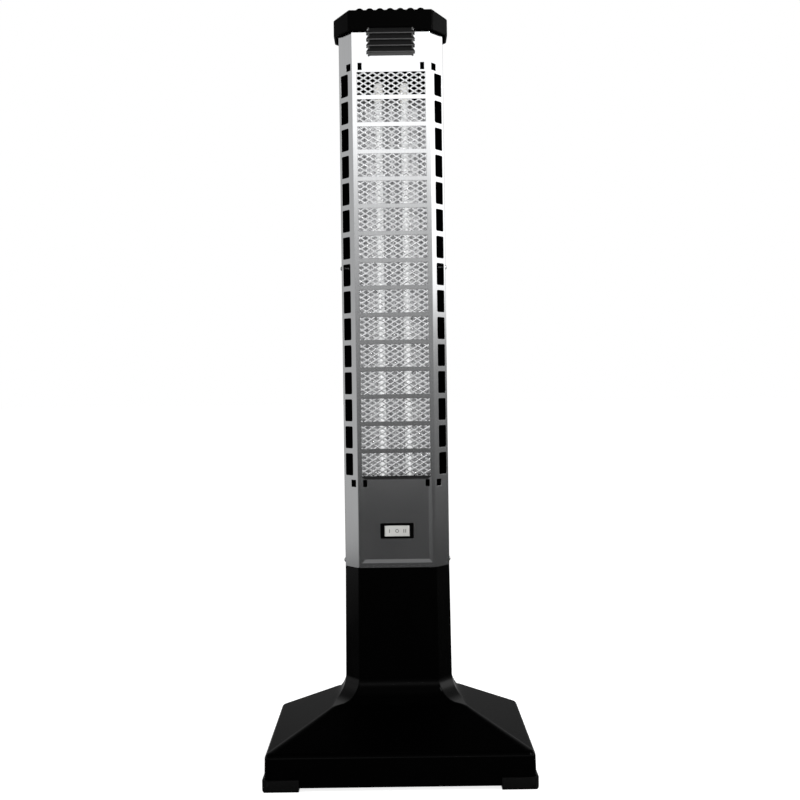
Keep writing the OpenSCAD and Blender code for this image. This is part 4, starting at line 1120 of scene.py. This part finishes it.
# Brightness of the tent in front, at the right, at the left and behind: (degrees, brightness)
TENT_STOPS = (
    [(-90, 0.01), (90, 0.02), (-9, 0.06), (-6, 0.08), (-3.8, 0.07), (-2.6, 0.15), (0, 0.28),
     (2, 0.33), (3.4, 0.38), (4.6, 0.62), (5.6, 0.74), (7.6, 0.76), (8.2, 2.1), (15, 2.1),
     (19, 0.3), (30, 0.2), (42, 0.3), (50, 0.2), (60, 0.02)],
    [(-90, 0.01), (90, 0.02), (-9, 0.03), (-5, 0.1), (-1, 0.24), (2.5, 0.5), (3.6, 2.2),
     (15, 2.2), (19, 0.3), (42, 0.03)],
    [(-90, 0.01), (90, 0.02), (-9, 0.01), (-7.2, 0.02), (-6.6, 0.62), (0, 0.66), (4, 0.55),
     (12, 0.72), (18, 0.5), (30, 0.05)],
    [(-90, 0.4), (90, 0.4), (-9, 0.8), (-5, 0.015), (10, 0.015), (20, 0.8)],
)


class HEATER_OT_stage(bpy.types.Operator):
    """Camera, floor, lamps and the tent that the metal mirrors"""

    bl_idname = "heater.stage"
    bl_label = "Stage"

    def execute(self, context):
        scene = context.scene
        self.make_camera(scene)
        self.make_floor()
        self.make_tent()
        self.make_world(scene)
        scene.view_settings.view_transform = "Standard"
        area_lamp("key_softbox", (-1.7, -2.6, 2.4), (0, 0, 0.5), (1.8, 1.8), 20)
        area_lamp("fill_softbox", (2.3, -2.0, 1.6), (0, 0, 0.5), (1.4, 2.2), 12)
        area_lamp("camera_softbox", (0, -2.35, 0.5), (0, 0, 0.6), (0.2, 0.2), 36)
        area_lamp("window_strip", (1.5, -0.5, 1.3), (0.15, -0.1, 0.1), (0.12, 0.6), 12, True)
        return {"FINISHED"}

    def make_camera(self, scene):
        """The camera of the photograph."""
        stage = settings("heater_stage")
        data = bpy.data.cameras.new("camera")
        data.lens = stage.lens
        data.sensor_width = 36.0
        data.shift_x = 0.0061
        data.shift_y = -0.0188
        data.dof.use_dof = False
        camera = bpy.data.objects.new("camera", data)
        scene.collection.objects.link(camera)
        camera.location = stage.eye
        upright = Matrix.Rotation(math.radians(90), 4, "X")
        camera.rotation_euler = (upright @ Matrix.Rotation(-stage.roll, 4, "Z")).to_euler()
        scene.camera = camera

    def seen_white(self, tree):
        """1 for the rays that show the background: camera, glossy and transmission rays."""
        path = add_node(tree, "ShaderNodeLightPath").outputs
        seen = path["Is Camera Ray"]
        for other in ("Is Glossy Ray", "Is Transmission Ray"):
            seen = maths(tree, "ShaderNodeMath", "MAXIMUM", seen, path[other])
        return seen

    def make_floor(self):
        """A pale floor that keeps the shadow; the tent stands in for it in reflections."""
        shape = bmesh.new()
        bmesh.ops.create_grid(shape, x_segments=1, y_segments=1, size=40.0)
        material, tree, output = new_material("studio_floor")
        surface(tree, output, {
            "Base Color": rgba(tuple(settings("heater_stage").floor_colour)),
            "Roughness": 0.9,
            "Specular IOR Level": 0.0,
            "Emission Color": (1.0, 1.0, 1.0, 1.0),
            "Emission Strength": spread(tree, self.seen_white(tree), 0.0, 0.7),
        })
        floor = stage_object("floor", shape, material)
        floor.visible_glossy = False

    def make_tent(self):
        """A tent of grey and white cloth, seen in reflections only."""
        # In front it is dark below the lens and bright above it, at the right bright down to the
        # horizon, at the left evenly grey, overhead dark; behind, it is dark round the horizon
        stage = settings("heater_stage")
        level = (0, 0, stage.eye[2])
        shape = bmesh.new()
        bmesh.ops.create_uvsphere(
            shape, u_segments=64, v_segments=32, radius=stage.tent_radius,
            matrix=Matrix.Translation(level),
        )
        bmesh.ops.reverse_faces(shape, faces=shape.faces)
        material, tree, output = new_material("tent_cloth")
        place = add_node(tree, "ShaderNodeTexCoord").outputs["Object"]
        from_eye = maths(tree, "ShaderNodeVectorMath", "SUBTRACT", place, level)
        way = maths(tree, "ShaderNodeVectorMath", "NORMALIZE", from_eye)
        parts = add_node(tree, "ShaderNodeSeparateXYZ", {"Vector": way}).outputs
        lift = maths(tree, "ShaderNodeMath", "ARCSINE", parts["Z"])
        rise = maths(tree, "ShaderNodeMath", "MULTIPLY", lift, 180 / math.pi)
        ceiling = 2.5
        front, right, left, around = [
            degree_ramp(tree, rise, stops, ceiling) for stops in TENT_STOPS
        ]
        sides = blend_colours(tree, spread(tree, parts["X"], 0, 1, -0.2, 0.2), left, right)
        pale = (0.04, 0.04, 0.04)
        straight = blend_colours(tree, spread(tree, parts["Y"], 0, 1, 0.968, 0.988), around, pale)
        behind = blend_colours(tree, spread(tree, parts["Y"], 0, 1, 0.75, 0.95), sides, straight)
        whole = blend_colours(tree, spread(tree, parts["Y"], 0, 1, -0.9, 0.1), front, behind)
        glow = add_node(tree, "ShaderNodeEmission", {"Color": whole, "Strength": ceiling})
        tree.links.new(glow.outputs[0], output.inputs["Surface"])
        material.cycles.emission_sampling = "NONE"
        tent = stage_object("tent", shape, material)
        for ray in ("camera", "diffuse", "transmission", "volume_scatter", "shadow"):
            setattr(tent, f"visible_{ray}", False)

    def make_world(self, scene):
        """White where it is seen, and an even soft light for everything else."""
        world = bpy.data.worlds.new("studio")
        scene.world = world
        world.use_nodes = True
        tree = world.node_tree
        tree.nodes.clear()
        strength = spread(tree, self.seen_white(tree), 0.4, 1.0)
        background = add_node(
            tree, "ShaderNodeBackground", {"Color": (1, 1, 1, 1), "Strength": strength}
        )
        output = add_node(tree, "ShaderNodeOutputWorld")
        tree.links.new(background.outputs[0], output.inputs["Surface"])


class HEATER_PT_panel(bpy.types.Panel):
    """Lists the heater's operators"""

    bl_label = "Patio heater"
    bl_idname = "HEATER_PT_panel"
    bl_space_type = "VIEW_3D"
    bl_region_type = "UI"
    bl_category = "Heater"

    def draw(self, context):
        for step in STEPS:
            self.layout.operator(step.bl_idname)


SETTINGS = {
    "heater_shell": HeaterShellSettings,
    "heater_mesh": HeaterMeshSettings,
    "heater_lamps": HeaterLampSettings,
    "heater_base": HeaterBaseSettings,
    "heater_stage": HeaterStageSettings,
}
STEPS = (
    HEATER_OT_shells,
    HEATER_OT_mesh_guard,
    HEATER_OT_lamps,
    HEATER_OT_cap,
    HEATER_OT_switch,
    HEATER_OT_base,
    HEATER_OT_feet,
    HEATER_OT_inside,
    HEATER_OT_stage,
)


def register():
    """Registers the settings, the operators and the panel."""
    for kind in (*SETTINGS.values(), *STEPS, HEATER_PT_panel):
        bpy.utils.register_class(kind)
    for name, kind in SETTINGS.items():
        setattr(bpy.types.Scene, name, PointerProperty(type=kind))


def unregister():
    """Takes them away again."""
    for name in SETTINGS:
        delattr(bpy.types.Scene, name)
    for kind in reversed((*SETTINGS.values(), *STEPS, HEATER_PT_panel)):
        bpy.utils.unregister_class(kind)


def main():
    """Makes every piece and the stage."""
    register()
    bpy.ops.heater.shells()
    bpy.ops.heater.mesh_guard()
    bpy.ops.heater.lamps()
    bpy.ops.heater.cap()
    bpy.ops.heater.switch()
    bpy.ops.heater.base()
    bpy.ops.heater.feet()
    bpy.ops.heater.inside()
    bpy.ops.heater.stage()


if __name__ == "__main__":
    main()
